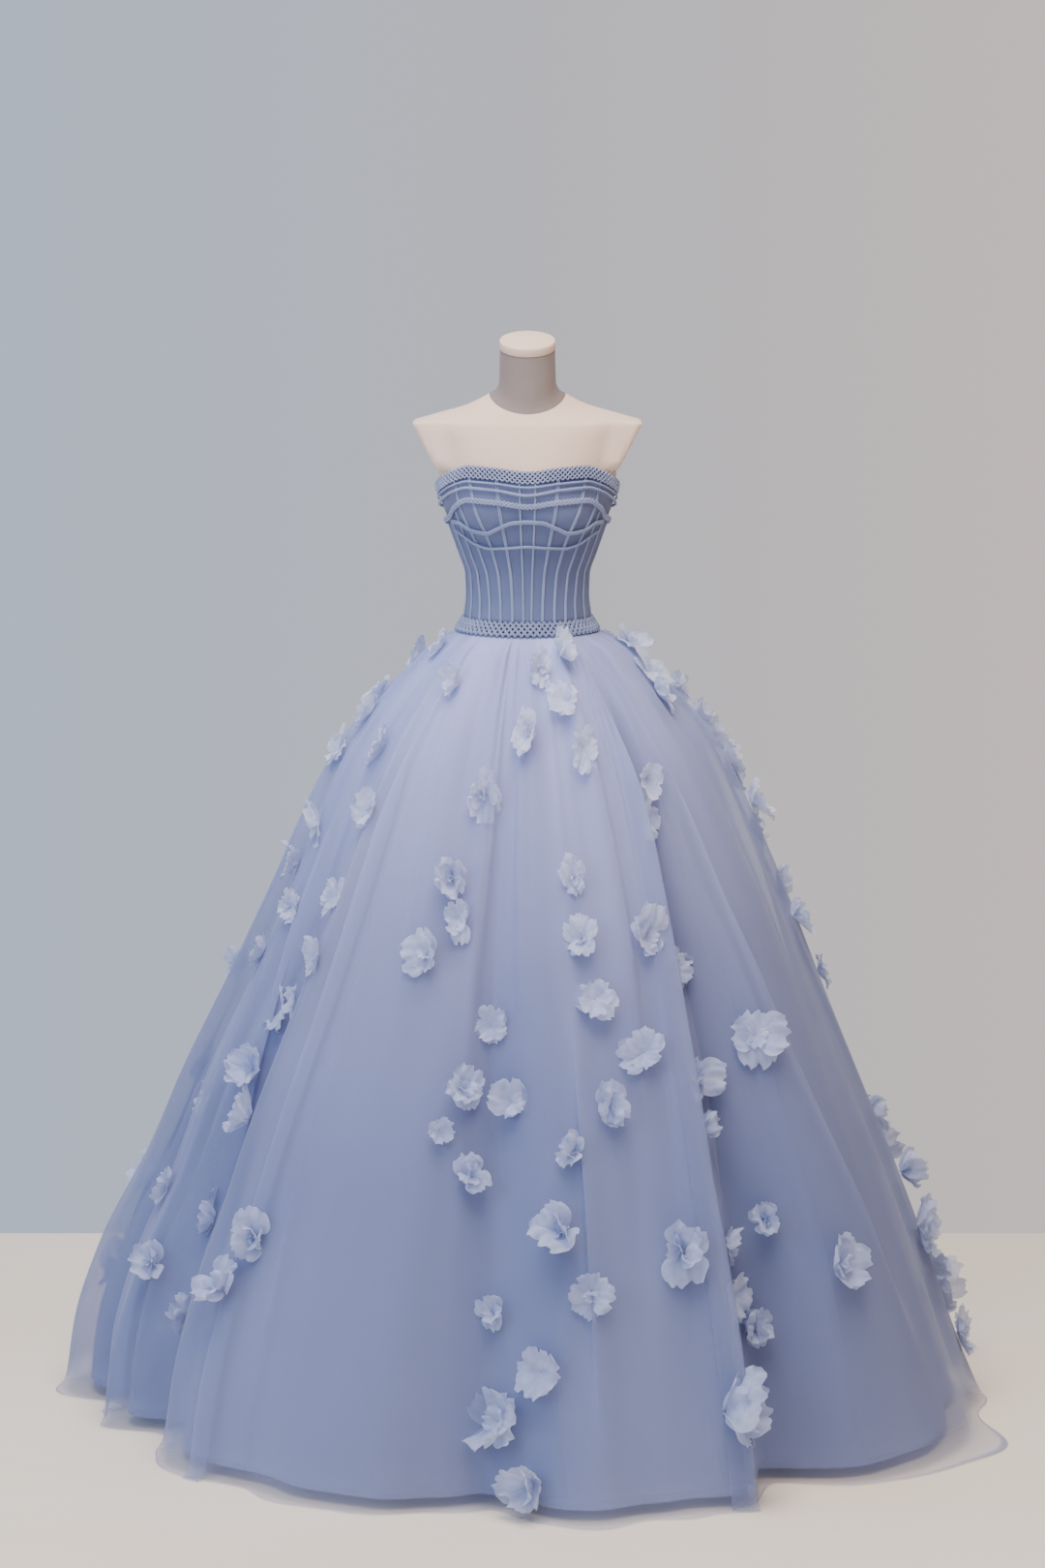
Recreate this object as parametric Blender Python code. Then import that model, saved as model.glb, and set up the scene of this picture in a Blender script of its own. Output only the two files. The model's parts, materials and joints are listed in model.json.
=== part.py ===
"""Strapless evening gown on a limbless dress form.

Units are metres and +Z is up. The gown faces -Y and +X is the right side of the front view.
The origin is the middle of the stand's base, on the floor that the base and the hem stand on.
The cloth is a set of thin walls around open hollows: seven boned bodice panels, four
underskirt panels and five skirt gores with 3-D flowers. Cords and braids lie on the bodice.
"""
import math

import bmesh
import bpy
from mathutils import Vector
from mathutils.bvhtree import BVHTree

# Gaps and thicknesses
SEAM_GAP = 0.0003
FORM_CLEARANCE = 0.0006
PANEL_WALL = 0.0018
LAY_CLEARANCE = 0.0007
CORD_CLEARANCE = 0.00095
BONE_HEIGHT = 0.0014
SKIRT_WALL = 0.0020
UNDERSKIRT_WALL = 0.0023
# Rough radii that turn a width on the body into an angle
WAIST_RADIUS = 0.09
BUST_RADIUS = 0.10

# Lifts above the dress form's skin, from the inside out
PANEL_INNER = FORM_CLEARANCE
PANEL_OUTER = PANEL_INNER + PANEL_WALL
BONE_INNER = PANEL_OUTER + LAY_CLEARANCE
BONE_OUTER = BONE_INNER + BONE_HEIGHT
CORD_INNER = BONE_OUTER + CORD_CLEARANCE

# Dress form: one row for each level of the torso.
# columns: height, half width, front depth, back depth
TORSO_LEVELS = [
    (0.985, 0.110, 0.094, 0.098),
    (1.080, 0.108, 0.094, 0.096),
    (1.140, 0.0990, 0.090, 0.084),
    (1.165, 0.0955, 0.088, 0.078),
    (1.192, 0.0915, 0.083, 0.072),
    (1.225, 0.0880, 0.080, 0.067),
    (1.255, 0.0890, 0.082, 0.068),
    (1.285, 0.0985, 0.089, 0.074),
    (1.315, 0.1090, 0.097, 0.081),
    (1.342, 0.1180, 0.102, 0.086),
    (1.368, 0.1260, 0.104, 0.089),
    (1.390, 0.1300, 0.102, 0.091),
    (1.420, 0.1330, 0.097, 0.092),
    (1.450, 0.1400, 0.089, 0.090),
    (1.478, 0.1500, 0.077, 0.085),
    (1.492, 0.1420, 0.068, 0.074),
    (1.507, 0.0920, 0.061, 0.064),
]
TORSO_COLUMNS = 48
HIP_RINGS = [0.985, 1.120]
SHOULDER_RING = 1.478
SHOULDER_STEPS = [0.35, 0.70, 1.0]
# columns: height at the sides and back, how much lower at the front
NECK_SLOPE_RINGS = [(1.492, 0.011), (1.507, 0.020)]
# The flat armhole plates lean out from their foot to the shoulder tips
ARMHOLE_FOOT_HEIGHT = 1.408
ARMHOLE_FOOT_HALF_WIDTH = 0.1320
ARMHOLE_LEAN = 0.53
SHOULDER_REACH = 0.045
SHOULDER_ONSET = 0.80
SHOULDER_SPREAD = 0.15
SHOULDER_RUN_IN = 0.015
CUP_REACH = 0.010
CUP_ANGLE = 33.0
CUP_HALF_ANGLE = 22.0
CUP_HEIGHT = 1.350
CUP_HALF_HEIGHT = 0.033

# Neck, cap, pole and base of the form
NECK_BASE_HEIGHT = 1.520
NECK_FRONT_DROOP = 0.027
NECK_BASE_RADIUS = 0.056
NECK_RADIUS = 0.0405
NECK_TOP_HEIGHT = 1.586
NECK_LEAN = -0.012
NECK_FLARE_TOP = 0.35
NECK_FLARE = 0.50
NECK_CAP_TILT = 16.0
NECK_CAP_HEIGHT = 0.014
NECK_CAP_OVERHANG = 0.0006
NECK_CAP_BEVEL = 0.002
NECK_CAP_COLUMNS = 24
POLE_RADIUS = 0.0125
BASE_RADIUS = 0.170
BASE_HEIGHT = 0.012

# Bodice heights by angle round the body, the same on both sides.
# columns: angle from the front, top edge, smooth cord, twisted cord, bust braid
BODICE_LINES = [
    (0, 1.4140, 1.3905, 1.3790, 1.3625),
    (20, 1.4190, 1.3955, 1.3860, 1.3685),
    (39, 1.4210, 1.3975, 1.3885, 1.3705),
    (54, 1.4130, 1.3895, 1.3805, 1.3570),
    (66, 1.4040, 1.3805, 1.3710, 1.3420),
    (90, 1.3890, 1.3655, 1.3560, 1.3320),
    (135, 1.3770, 1.3535, 1.3440, 1.3230),
    (180, 1.3730, 1.3495, 1.3400, 1.3200),
]
# columns: angle from the front, underbust braid, underbust cord
UNDERBUST_LINES = [
    (0, 1.3400, 1.3030),
    (10, 1.3385, 1.3015),
    (20, 1.3300, 1.3000),
    (30, 1.3220, 1.2990),
    (42, 1.3250, 1.3040),
    (54, 1.3350, 1.3160),
    (66, 1.3346, 1.3240),
]
UNDERBUST_BRAID_END = 64.0
UNDERBUST_CORD_END = 62.0
BODICE_FOOT = 1.1690
PANEL_TOP_DROP = 0.001
# columns: name, first column and last column of the form's grid, counted from the front
BODICE_PANELS = [
    ("bodice_front", -3, 3),
    ("bodice_side_front_right", 3, 8),
    ("bodice_side_right", 8, 15),
    ("bodice_back_right", 15, 24),
    ("bodice_back_left", 24, 33),
    ("bodice_side_left", 33, 40),
    ("bodice_side_front_left", 40, 45),
]
PANEL_ROWS = 9
COLUMN_STEP = 360 / TORSO_COLUMNS

# Boning channels, mirrored left and right.
# columns: angle at the waist, at the underbust cord, at the top, width, runs to the neckline
BONES = [
    (3.6, 4.6, 5.0, 0.0026, True),
    (13.3, 16.6, 19.5, 0.0042, True),
    (24.5, 29.5, 39.0, 0.0042, True),
    (36.0, 42.5, 53.0, 0.0036, True),
    (48.0, 54.0, 56.0, 0.0036, False),
    (63.0, 66.0, 68.0, 0.0036, False),
    (80.0, 82.0, 84.0, 0.0036, False),
    (98.0, 98.0, 99.0, 0.0036, False),
    (116.0, 115.0, 114.0, 0.0036, False),
    (134.0, 132.0, 131.0, 0.0036, False),
    (152.0, 150.0, 149.0, 0.0036, False),
    (169.0, 168.0, 167.0, 0.0036, False),
]
BONE_FOOT = 1.1930
BONE_UNDERBUST_HEIGHT = 1.300
BONE_TOP_HEIGHT = 1.400
NECKLINE_BONE_GAP = 0.0010
BUST_BONE_GAP = 0.0015
FIRST_BONE_ROW = 0.008
LAST_BONE_ROW = 0.004
# The trims take a section at every half column over the cups
FINE_FRONT = 72

# Trims: widths and heights of their sections
NECKLINE_BAND_WIDTH = 0.0195
NECKLINE_BAND_DEPTH = 0.0034
SMOOTH_CORD = 0.0030
TWISTED_CORD = 0.0044
BUST_BRAID_WIDTH = 0.0092
BRAID_DEPTH = 0.0034
UNDERBUST_BRAID_WIDTH = 0.0070
BELT_FOOT = 1.1700
BELT_HEIGHT = 0.0220
BELT_DEPTH = 0.0042
BAND_CROWN = 0.18

# Skirt: one row for each level, outside radius on the left, right, front and back
SKIRT_LEVELS = [
    (1.1697, 0.1040, 0.1040, 0.0965, 0.0872),
    (1.150, 0.137, 0.146, 0.126, 0.122),
    (1.115, 0.174, 0.182, 0.158, 0.160),
    (1.070, 0.217, 0.222, 0.192, 0.200),
    (1.000, 0.274, 0.275, 0.236, 0.252),
    (0.900, 0.330, 0.324, 0.288, 0.310),
    (0.780, 0.386, 0.376, 0.344, 0.368),
    (0.650, 0.449, 0.428, 0.404, 0.432),
    (0.510, 0.520, 0.487, 0.466, 0.500),
    (0.370, 0.580, 0.545, 0.526, 0.566),
    (0.230, 0.650, 0.596, 0.578, 0.630),
    (0.100, 0.690, 0.640, 0.618, 0.676),
    (0.000, 0.700, 0.680, 0.640, 0.705),
]
# Folds: one row for each ridge or valley line, in order round the skirt.
# columns: angle at the waist, angle at the hem, radius at the hem
FOLD_LINES = [
    (-180, -180, 0.668),
    (-168, -168, 0.724),
    (-157, -157, 0.672),
    (-146, -146, 0.716),
    (-136, -136, 0.694),
    (-126, -126, 0.642),
    (-115, -114, 0.716),
    (-106, -104, 0.664),
    (-97, -94, 0.703),
    (-91, -88, 0.692),
    (-87, -83, 0.612),
    (-82, -78, 0.640),
    (-76, -73, 0.652),
    (-68, -67.5, 0.575),
    (-60, -62.5, 0.562),
    (-51, -56, 0.634),
    (-46, -50, 0.638),
    (-39, -41, 0.622),
    (-31, -32, 0.638),
    (-21, -21, 0.634),
    (-14, -12.5, 0.602),
    (-9, -6, 0.578),
    (-3, -0.5, 0.616),
    (5, 6.5, 0.656),
    (13, 13.5, 0.646),
    (21, 20, 0.642),
    (30, 26, 0.652),
    (35, 30, 0.642),
    (40, 35, 0.578),
    (44, 40, 0.604),
    (50, 47, 0.660),
    (57, 57, 0.695),
    (65, 67, 0.700),
    (74, 78, 0.676),
    (83, 88, 0.690),
    (92, 96, 0.634),
    (103, 104.5, 0.700),
    (114, 114, 0.656),
    (125, 125, 0.712),
    (136, 136, 0.684),
    (147, 147, 0.650),
    (158, 158, 0.722),
    (169, 169, 0.702),
]
FOLD_STEPS = 2
# Heights of the rows of points that shape the skirt's wall
SKIRT_ROWS = [1.1697, 1.145, 1.095, 1.020, 0.920, 0.790, 0.630, 0.440, 0.225, 0.0]
FOLD_GROWTH = 0.95
# The share of the skirt's fall at which a fold line has turned to its hem angle
FOLD_TURN_END = 0.625
# How far to either side, and up and down, the wall's slope is measured
SIDE_PROBE = 0.02
HEIGHT_PROBE = 0.004
LEAST_LEAN = 0.35
# columns: name, first fold line, last fold line, with the last one past the table's end
# counted on from its start
GORES = [
    ("skirt_back_left", 0, 7),
    ("skirt_side_left", 7, 13),
    ("skirt_front", 13, 28),
    ("skirt_side_right", 28, 35),
    ("skirt_back_right", 35, 43),
]

# Underskirt: four panels that hang from the bodice's foot.
# columns: height, outside radius at the sides, front and back
UNDERSKIRT_LEVELS = [
    (1.155, 0.1050, 0.0970, 0.0890),
    (1.100, 0.150, 0.134, 0.130),
    (1.000, 0.226, 0.196, 0.205),
    (0.800, 0.325, 0.285, 0.310),
    (0.450, 0.445, 0.415, 0.450),
    (0.020, 0.545, 0.525, 0.560),
]
UNDERSKIRT_COLUMNS = 28
# columns: name, first column, last column
UNDERSKIRT_PANELS = [
    ("underskirt_front_right", 0, 7),
    ("underskirt_back_right", 7, 14),
    ("underskirt_back_left", 14, 21),
    ("underskirt_front_left", 21, 28),
]

# Flowers: each trail is a list of angle from the front, height in mm, width in mm
FLOWER_TRAILS = {
    "left_edge": [(-92, 1072, 46), (-84, 1046, 44), (-88, 990, 50), (-75, 893, 52), (-80, 832, 50),
                  (-73, 770, 44), (-77, 700, 46), (-82, 472, 52), (-76, 350, 56), (-71, 250, 60)],
    "left_lobe": [(-69, 1150, 46), (-60, 1008, 50), (-51, 928, 46), (-55, 804, 48), (-52, 726, 50),
                  (-64, 627, 50), (-58, 652, 42), (-68, 541, 66), (-57, 487, 66), (-63, 325, 60),
                  (-49, 340, 64), (-62, 190, 52), (-46, 263, 66)],
    "front_left": [(-36, 1105, 50), (-15, 960, 52), (-20.5, 846, 60), (-16.5, 785, 50),
                   (-23, 744, 58), (-8, 647, 46), (-12.5, 567, 60), (-16, 513, 44), (-10, 448, 56),
                   (-3, 546, 56)],
    "front_middle": [(20, 1150, 50), (7, 1128, 44), (16.5, 1085, 52), (1, 1044, 48), (20, 1024, 46),
                     (12, 850, 48), (12.5, 768, 48), (14, 687, 54), (14.5, 547, 54), (6.5, 490, 48),
                     (5, 385, 70), (8.5, 304, 56), (-5, 264, 50), (2, 200, 84), (-4, 122, 80),
                     (1, 48, 74)],
    "right_fold": [(42, 975, 50), (38, 917, 48), (28, 771, 74), (38, 710, 56), (23, 613, 58),
                   (48, 617, 70), (37, 557, 62), (33.5, 500, 40), (24, 348, 66), (42, 362, 50),
                   (31, 335, 52), (30, 270, 52), (40, 217, 60), (33, 133, 92), (50, 299, 68)],
    "right_edge": [(83, 1148, 46), (76, 1111, 50), (70, 1085, 48), (92, 1030, 56), (88, 973, 50),
                   (84, 913, 52), (89, 790, 60), (82, 745, 52), (87, 655, 44), (91, 433, 56),
                   (88, 347, 62), (90, 197, 66), (87, 104, 58)],
}
# Trails on the back, which the front view hides.
# columns: angle at the waist, angle at the hem, first height, last height in mm, how many
BACK_TRAILS = [
    (-112, -110, 1120, 140, 7),
    (-133, -138, 1060, 230, 6),
    (-155, -150, 1130, 100, 7),
    (-174, -172, 1000, 330, 5),
    (172, 168, 1120, 160, 7),
    (150, 156, 1060, 90, 6),
    (128, 130, 1130, 250, 6),
    (109, 108, 980, 120, 5),
]
BACK_FLOWER_SMALL = 46
BACK_FLOWER_LARGE = 72
BACK_SWAY = 4.5
BACK_SWAY_STEP = 2.4
FLOWER_TURN = 0.9
PETALS = 5
PETAL_NOTCH = 0.66
FLOWER_SINK = 0.0016
FLOWER_RISE = 0.22
NOTCH_RISE = 0.75
CENTRE_RISE = 0.45
SEAM_MARGIN = 0.56
OUTSIDE_RADIUS = 1.5

# Colours, sRGB from 0 to 1
TULLE = (0.60, 0.65, 0.80)
LINING = (0.66, 0.67, 0.78)
MESH_PANEL = (0.50, 0.54, 0.66)
CORD = (0.63, 0.67, 0.80)
LINEN = (0.86, 0.81, 0.76)
LINEN_SHADE = (0.74, 0.72, 0.72)
STEEL = (0.62, 0.62, 0.63)


def clear_scene():
    for old in list(bpy.data.objects):
        bpy.data.objects.remove(old, do_unlink=True)


def make_material(name, srgb, roughness, metallic=0.0):
    material = bpy.data.materials.new(name)
    material.use_nodes = True
    shader = material.node_tree.nodes["Principled BSDF"]
    linear = [channel ** 2.2 for channel in srgb]
    shader.inputs["Base Color"].default_value = (*linear, 1.0)
    shader.inputs["Roughness"].default_value = roughness
    shader.inputs["Metallic"].default_value = metallic
    return material


def interpolate(rows, key, column):
    """Read a column of a table at a key between its rows, eased by a smooth cubic."""
    keys = [row[0] for row in rows]
    rising = keys[0] < keys[-1]
    ordered = rows if rising else rows[::-1]
    if key <= ordered[0][0]:
        return ordered[0][column]
    if key >= ordered[-1][0]:
        return ordered[-1][column]
    index = max(i for i, row in enumerate(ordered) if row[0] <= key)
    index = min(index, len(ordered) - 2)

    def slope(i):
        if i == 0 or i == len(ordered) - 1:
            near = 1 if i == 0 else -1
            return (ordered[i + near][column] - ordered[i][column]) / (ordered[i + near][0] - ordered[i][0])
        before = (ordered[i][column] - ordered[i - 1][column]) / (ordered[i][0] - ordered[i - 1][0])
        after = (ordered[i + 1][column] - ordered[i][column]) / (ordered[i + 1][0] - ordered[i][0])
        if before * after <= 0:
            return 0.0
        return 2 * before * after / (before + after)

    low, high = ordered[index], ordered[index + 1]
    step = high[0] - low[0]
    t = (key - low[0]) / step
    value = (2 * t ** 3 - 3 * t ** 2 + 1) * low[column] + (t ** 3 - 2 * t ** 2 + t) * step * slope(index)
    value += (3 * t ** 2 - 2 * t ** 3) * high[column] + (t ** 3 - t ** 2) * step * slope(index + 1)
    return value


def body_point(angle, height, lift=0.0):
    """A point over the dress form's skin: angle in degrees from the front, height, lift outward."""
    half_width = interpolate(TORSO_LEVELS, height, 1)
    depth = interpolate(TORSO_LEVELS, height, 2 if math.cos(math.radians(angle)) > 0 else 3)
    sine, cosine = math.sin(math.radians(angle)), math.cos(math.radians(angle))
    if ARMHOLE_FOOT_HEIGHT < height <= SHOULDER_RING:
        side = min(1.0, max(0.0, (abs(sine) - SHOULDER_ONSET) / SHOULDER_SPREAD))
        rise = min(1.0, (height - ARMHOLE_FOOT_HEIGHT) / SHOULDER_RUN_IN)
        half_width += SHOULDER_REACH * side * side * (3 - 2 * side) * rise
    around = ((angle + 180) % 360) - 180
    cup = CUP_REACH * math.exp(-((abs(around) - CUP_ANGLE) / CUP_HALF_ANGLE) ** 2)
    cup *= math.exp(-((height - CUP_HEIGHT) / CUP_HALF_HEIGHT) ** 2)
    out = Vector((sine / half_width, -cosine / depth, 0)).normalized()
    point = Vector((half_width * sine, -depth * cosine, height)) + out * cup
    if ARMHOLE_FOOT_HEIGHT < height <= SHOULDER_RING:
        cut = ARMHOLE_FOOT_HALF_WIDTH + ARMHOLE_LEAN * (height - ARMHOLE_FOOT_HEIGHT)
        point.x = max(-cut, min(cut, point.x))
    return point + out * lift


def panel_height(angle, up):
    """The height on the bodice panels at a share of the way from their foot to the neckline."""
    return BODICE_FOOT + (bodice_line(angle, 1) - PANEL_TOP_DROP - BODICE_FOOT) * up


def cloth_point(angle, height, lift):
    """A point over the flat facets between the panels' rows and columns, moved out."""
    column = math.floor(angle / COLUMN_STEP)
    across = angle / COLUMN_STEP - column
    near, far = column * COLUMN_STEP, (column + 1) * COLUMN_STEP
    top = panel_height(near, 1) * (1 - across) + panel_height(far, 1) * across
    rows = (height - BODICE_FOOT) / (top - BODICE_FOOT) * (PANEL_ROWS - 1)
    row = min(max(math.floor(rows), 0), PANEL_ROWS - 2)
    part = rows - row
    corners = []
    for angle_at in (near, far):
        for row_at in (row, row + 1):
            corners.append(body_point(angle_at, panel_height(angle_at, row_at / (PANEL_ROWS - 1)), lift))
    near_low, near_high, far_low, far_high = corners
    if across >= part:
        return near_low + (far_low - near_low) * across + (far_high - far_low) * part
    return near_low + (near_high - near_low) * part + (far_high - near_high) * across


def new_object(name, mesh, material, smooth_angle=40):
    for face in mesh.polygons:
        face.use_smooth = True
    mesh.set_sharp_from_angle(angle=math.radians(smooth_angle))
    part = bpy.data.objects.new(name, mesh)
    part.data.materials.append(material)
    COLLECTION.objects.link(part)
    return part


def mesh_from_faces(name, points, faces):
    mesh = bpy.data.meshes.new(name)
    mesh.from_pydata([tuple(p) for p in points], [], faces)
    work = bmesh.new()
    work.from_mesh(mesh)
    bmesh.ops.recalc_face_normals(work, faces=work.faces)
    work.to_mesh(mesh)
    work.free()
    return mesh


def loft_rings(name, rings, material):
    """A solid through closed rings with the same number of points, capped at both ends."""
    count = len(rings[0])
    points = [p for ring in rings for p in ring]
    faces = []
    for level in range(len(rings) - 1):
        for i in range(count):
            j = (i + 1) % count
            a, b = level * count, (level + 1) * count
            faces += [(a + i, a + j, b + j), (a + i, b + j, b + i)]
    for start in (0, (len(rings) - 1) * count):
        ring = points[start:start + count]
        points.append(sum(ring, Vector()) / count)
        hub = len(points) - 1
        faces += [(start + i, start + (i + 1) % count, hub) for i in range(count)]
    return new_object(name, mesh_from_faces(name, points, faces), material)


def wall_from_grids(outer, inner, closed=False):
    """Points and faces of a wall between two grids of rows; closed joins the last column on."""
    rows, columns = len(outer), len(outer[0])
    points = [p for row in outer for p in row] + [p for row in inner for p in row]
    shift = rows * columns
    faces = []
    span = columns if closed else columns - 1
    for r in range(rows - 1):
        for c in range(span):
            d = (c + 1) % columns
            a, b = r * columns + c, r * columns + d
            low, high = (a, b, b + columns), (a, b + columns, a + columns)
            faces += [low, high]
            faces += [tuple(shift + i for i in reversed(half)) for half in (low, high)]
    for r in (0, rows - 1):
        for c in range(span):
            d = (c + 1) % columns
            a, b = r * columns + c, r * columns + d
            faces.append((a, b, shift + b, shift + a))
    if not closed:
        for c in (0, columns - 1):
            for r in range(rows - 1):
                a, b = r * columns + c, (r + 1) * columns + c
                faces.append((a, b, shift + b, shift + a))
    return points, faces


def strip_from_sections(name, sections, material, closed):
    """A cord or band through equal sections, as a ring or with two ends."""
    count = len(sections[0])
    points = [p for section in sections for p in section]
    faces = []
    total = len(sections)
    for s in range(total if closed else total - 1):
        n = (s + 1) % total
        for i in range(count):
            j = (i + 1) % count
            faces.append((s * count + i, s * count + j, n * count + j, n * count + i))
    if not closed:
        faces.append(tuple(range(count)))
        faces.append(tuple((total - 1) * count + i for i in range(count)))
    return new_object(name, mesh_from_faces(name, points, faces), material)


# Dress form


def build_torso(material):
    angles = [COLUMN_STEP * i for i in range(TORSO_COLUMNS)]
    rings = [[body_point(angle, height) for angle in angles] for height in HIP_RINGS]
    for r in range(PANEL_ROWS):
        rings.append([body_point(angle, panel_height(angle, r / (PANEL_ROWS - 1))) for angle in angles])
    for part in SHOULDER_STEPS:
        heights = [panel_height(angle, 1) * (1 - part) + SHOULDER_RING * part for angle in angles]
        rings.append([body_point(angle, height) for angle, height in zip(angles, heights)])
    for height, droop in NECK_SLOPE_RINGS:
        lowered = [height - droop * max(0.0, math.cos(math.radians(angle))) ** 2 for angle in angles]
        ring = [body_point(angle, height) for angle in angles]
        rings.append([Vector((p.x, p.y, low)) for p, low in zip(ring, lowered)])
    rings.append(neck_ring(NECK_BASE_RADIUS, 0.0))
    loft_rings("form_torso", rings, material)


def neck_ring(radius, rise):
    ring = []
    for i in range(TORSO_COLUMNS):
        turn = 2 * math.pi * i / TORSO_COLUMNS
        droop = NECK_FRONT_DROOP * max(0.0, math.cos(turn)) ** 2
        height = NECK_BASE_HEIGHT - droop + rise
        ring.append(Vector((radius * math.sin(turn), -radius * math.cos(turn), height)))
    return ring


def cap_frame():
    """The middle of the neck's tilted top, and its outward and forward directions."""
    tilt = math.radians(NECK_CAP_TILT)
    up = Vector((0, -math.sin(tilt), math.cos(tilt)))
    front = Vector((0, -math.cos(tilt), -math.sin(tilt)))
    return Vector((0, NECK_LEAN, NECK_TOP_HEIGHT)), up, front


def build_neck(material, cap_material):
    centre, up, front = cap_frame()
    side = Vector((1, 0, 0))

    def ring_at(radius, rise, count=TORSO_COLUMNS):
        turns = [2 * math.pi * i / count for i in range(count)]
        middle = centre + up * rise
        return [middle + side * radius * math.sin(t) + front * radius * math.cos(t) for t in turns]

    foot = neck_ring(NECK_BASE_RADIUS, SEAM_GAP)
    top = ring_at(NECK_RADIUS, 0.0)
    waist = []
    for low, high in zip(foot, top):
        level = Vector(((high - low).x, (high - low).y, 0))
        waist.append(low.lerp(high, NECK_FLARE_TOP) + level * NECK_FLARE)
    loft_rings("form_neck", [foot, waist, top], material)
    lip = NECK_RADIUS + NECK_CAP_OVERHANG
    cap = [ring_at(lip, SEAM_GAP, NECK_CAP_COLUMNS),
           ring_at(lip, NECK_CAP_HEIGHT - NECK_CAP_BEVEL, NECK_CAP_COLUMNS),
           ring_at(lip - NECK_CAP_BEVEL, NECK_CAP_HEIGHT, NECK_CAP_COLUMNS)]
    loft_rings("form_neck_cap", cap, cap_material)


def build_stand(material):
    pole_foot = BASE_HEIGHT + SEAM_GAP
    pole_top = TORSO_LEVELS[0][0] - SEAM_GAP
    bpy.ops.mesh.primitive_cylinder_add(vertices=24, radius=POLE_RADIUS, depth=pole_top - pole_foot,
                                        location=(0, 0, (pole_top + pole_foot) / 2))
    take_primitive("form_pole", material)
    bpy.ops.mesh.primitive_cylinder_add(vertices=32, radius=BASE_RADIUS, depth=BASE_HEIGHT,
                                        location=(0, 0, BASE_HEIGHT / 2))
    take_primitive("form_base", material)


def take_primitive(name, material):
    part = bpy.context.object
    part.name = name
    part.data.name = name
    for collection in list(part.users_collection):
        collection.objects.unlink(part)
    COLLECTION.objects.link(part)
    part.data.materials.append(material)
    part.data.shade_smooth()
    part.data.set_sharp_from_angle(angle=math.radians(40))
    return part


# Bodice


def fold_angle(angle):
    """The angle's distance from the front, the same on the left and on the right."""
    return abs(((angle + 180) % 360) - 180)


def bodice_line(angle, column):
    return interpolate(BODICE_LINES, fold_angle(angle), column)


def underbust_line(angle, column):
    return interpolate(UNDERBUST_LINES, fold_angle(angle), column)


def build_bodice_panels(material):
    for name, first, last in BODICE_PANELS:
        outer, inner = [], []
        for r in range(PANEL_ROWS):
            up = r / (PANEL_ROWS - 1)
            rows = ([], [])
            for c in range(first, last + 1):
                angle = c * COLUMN_STEP
                height = panel_height(angle, up)
                half_gap = math.degrees(SEAM_GAP / 2 / WAIST_RADIUS)
                if c == first:
                    angle += half_gap
                if c == last:
                    angle -= half_gap
                rows[0].append(body_point(angle, height, PANEL_OUTER))
                rows[1].append(body_point(angle, height, PANEL_INNER))
            outer.append(rows[0])
            inner.append(rows[1])
        points, faces = wall_from_grids(outer, inner)
        new_object(name, mesh_from_faces(name, points, faces), material)


def bone_angle(bone, height):
    """The channel's angle at a height: it fans out from the waist to the neckline."""
    waist, underbust, top = bone[0], bone[1], bone[2]
    rows = [(BONE_FOOT, waist), (BONE_UNDERBUST_HEIGHT, underbust), (BONE_TOP_HEIGHT, top)]
    return interpolate(rows, height, 1)


def bone_row_height(bone, side, row):
    """Where the channel crosses one of the panels' rows."""
    height = panel_height(bone[1], row / (PANEL_ROWS - 1))
    for _ in range(4):
        height = panel_height(bone_angle(bone, height) * side, row / (PANEL_ROWS - 1))
    return height


def bone_head(bone, side):
    """Where the channel ends: under the neckline band, or under the bust braid at the sides."""
    angle = bone[2] * side
    if bone[4]:
        return bodice_line(angle, 1) - NECKLINE_BAND_WIDTH - NECKLINE_BONE_GAP
    return bodice_line(angle, 4) - BUST_BRAID_WIDTH / 2 - BUST_BONE_GAP


def build_bones(material):
    for number, bone in enumerate(BONES, start=1):
        for side, side_name in ((-1, "left"), (1, "right")):
            head = bone_head(bone, side)
            sections = []
            rows = [bone_row_height(bone, side, r) for r in range(PANEL_ROWS)]
            lowest, highest = BONE_FOOT + FIRST_BONE_ROW, head - LAST_BONE_ROW
            heights = [BONE_FOOT] + [row for row in rows if lowest < row < highest] + [head]
            for height in heights:
                angle = bone_angle(bone, height) * side
                spread = math.degrees(bone[3] / 2 / BUST_RADIUS)
                sections.append([
                    cloth_point(angle - spread, height, BONE_INNER),
                    cloth_point(angle + spread, height, BONE_INNER),
                    cloth_point(angle, height, BONE_OUTER),
                ])
            strip_from_sections(f"bone_{number:02d}_{side_name}", sections, material, closed=False)


def band_sections(line, width, inner, depth, angles, crown=BAND_CROWN):
    """Sections of a band laid round the bodice: flat inside, narrower by the crown outside."""
    sections = []
    for angle in angles:
        middle = line(angle)
        low, high = middle - width / 2, middle + width / 2
        sections.append([
            cloth_point(angle, low, inner),
            cloth_point(angle, low + width * crown, inner + depth),
            cloth_point(angle, high - width * crown, inner + depth),
            cloth_point(angle, high, inner),
        ])
    return sections


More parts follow.
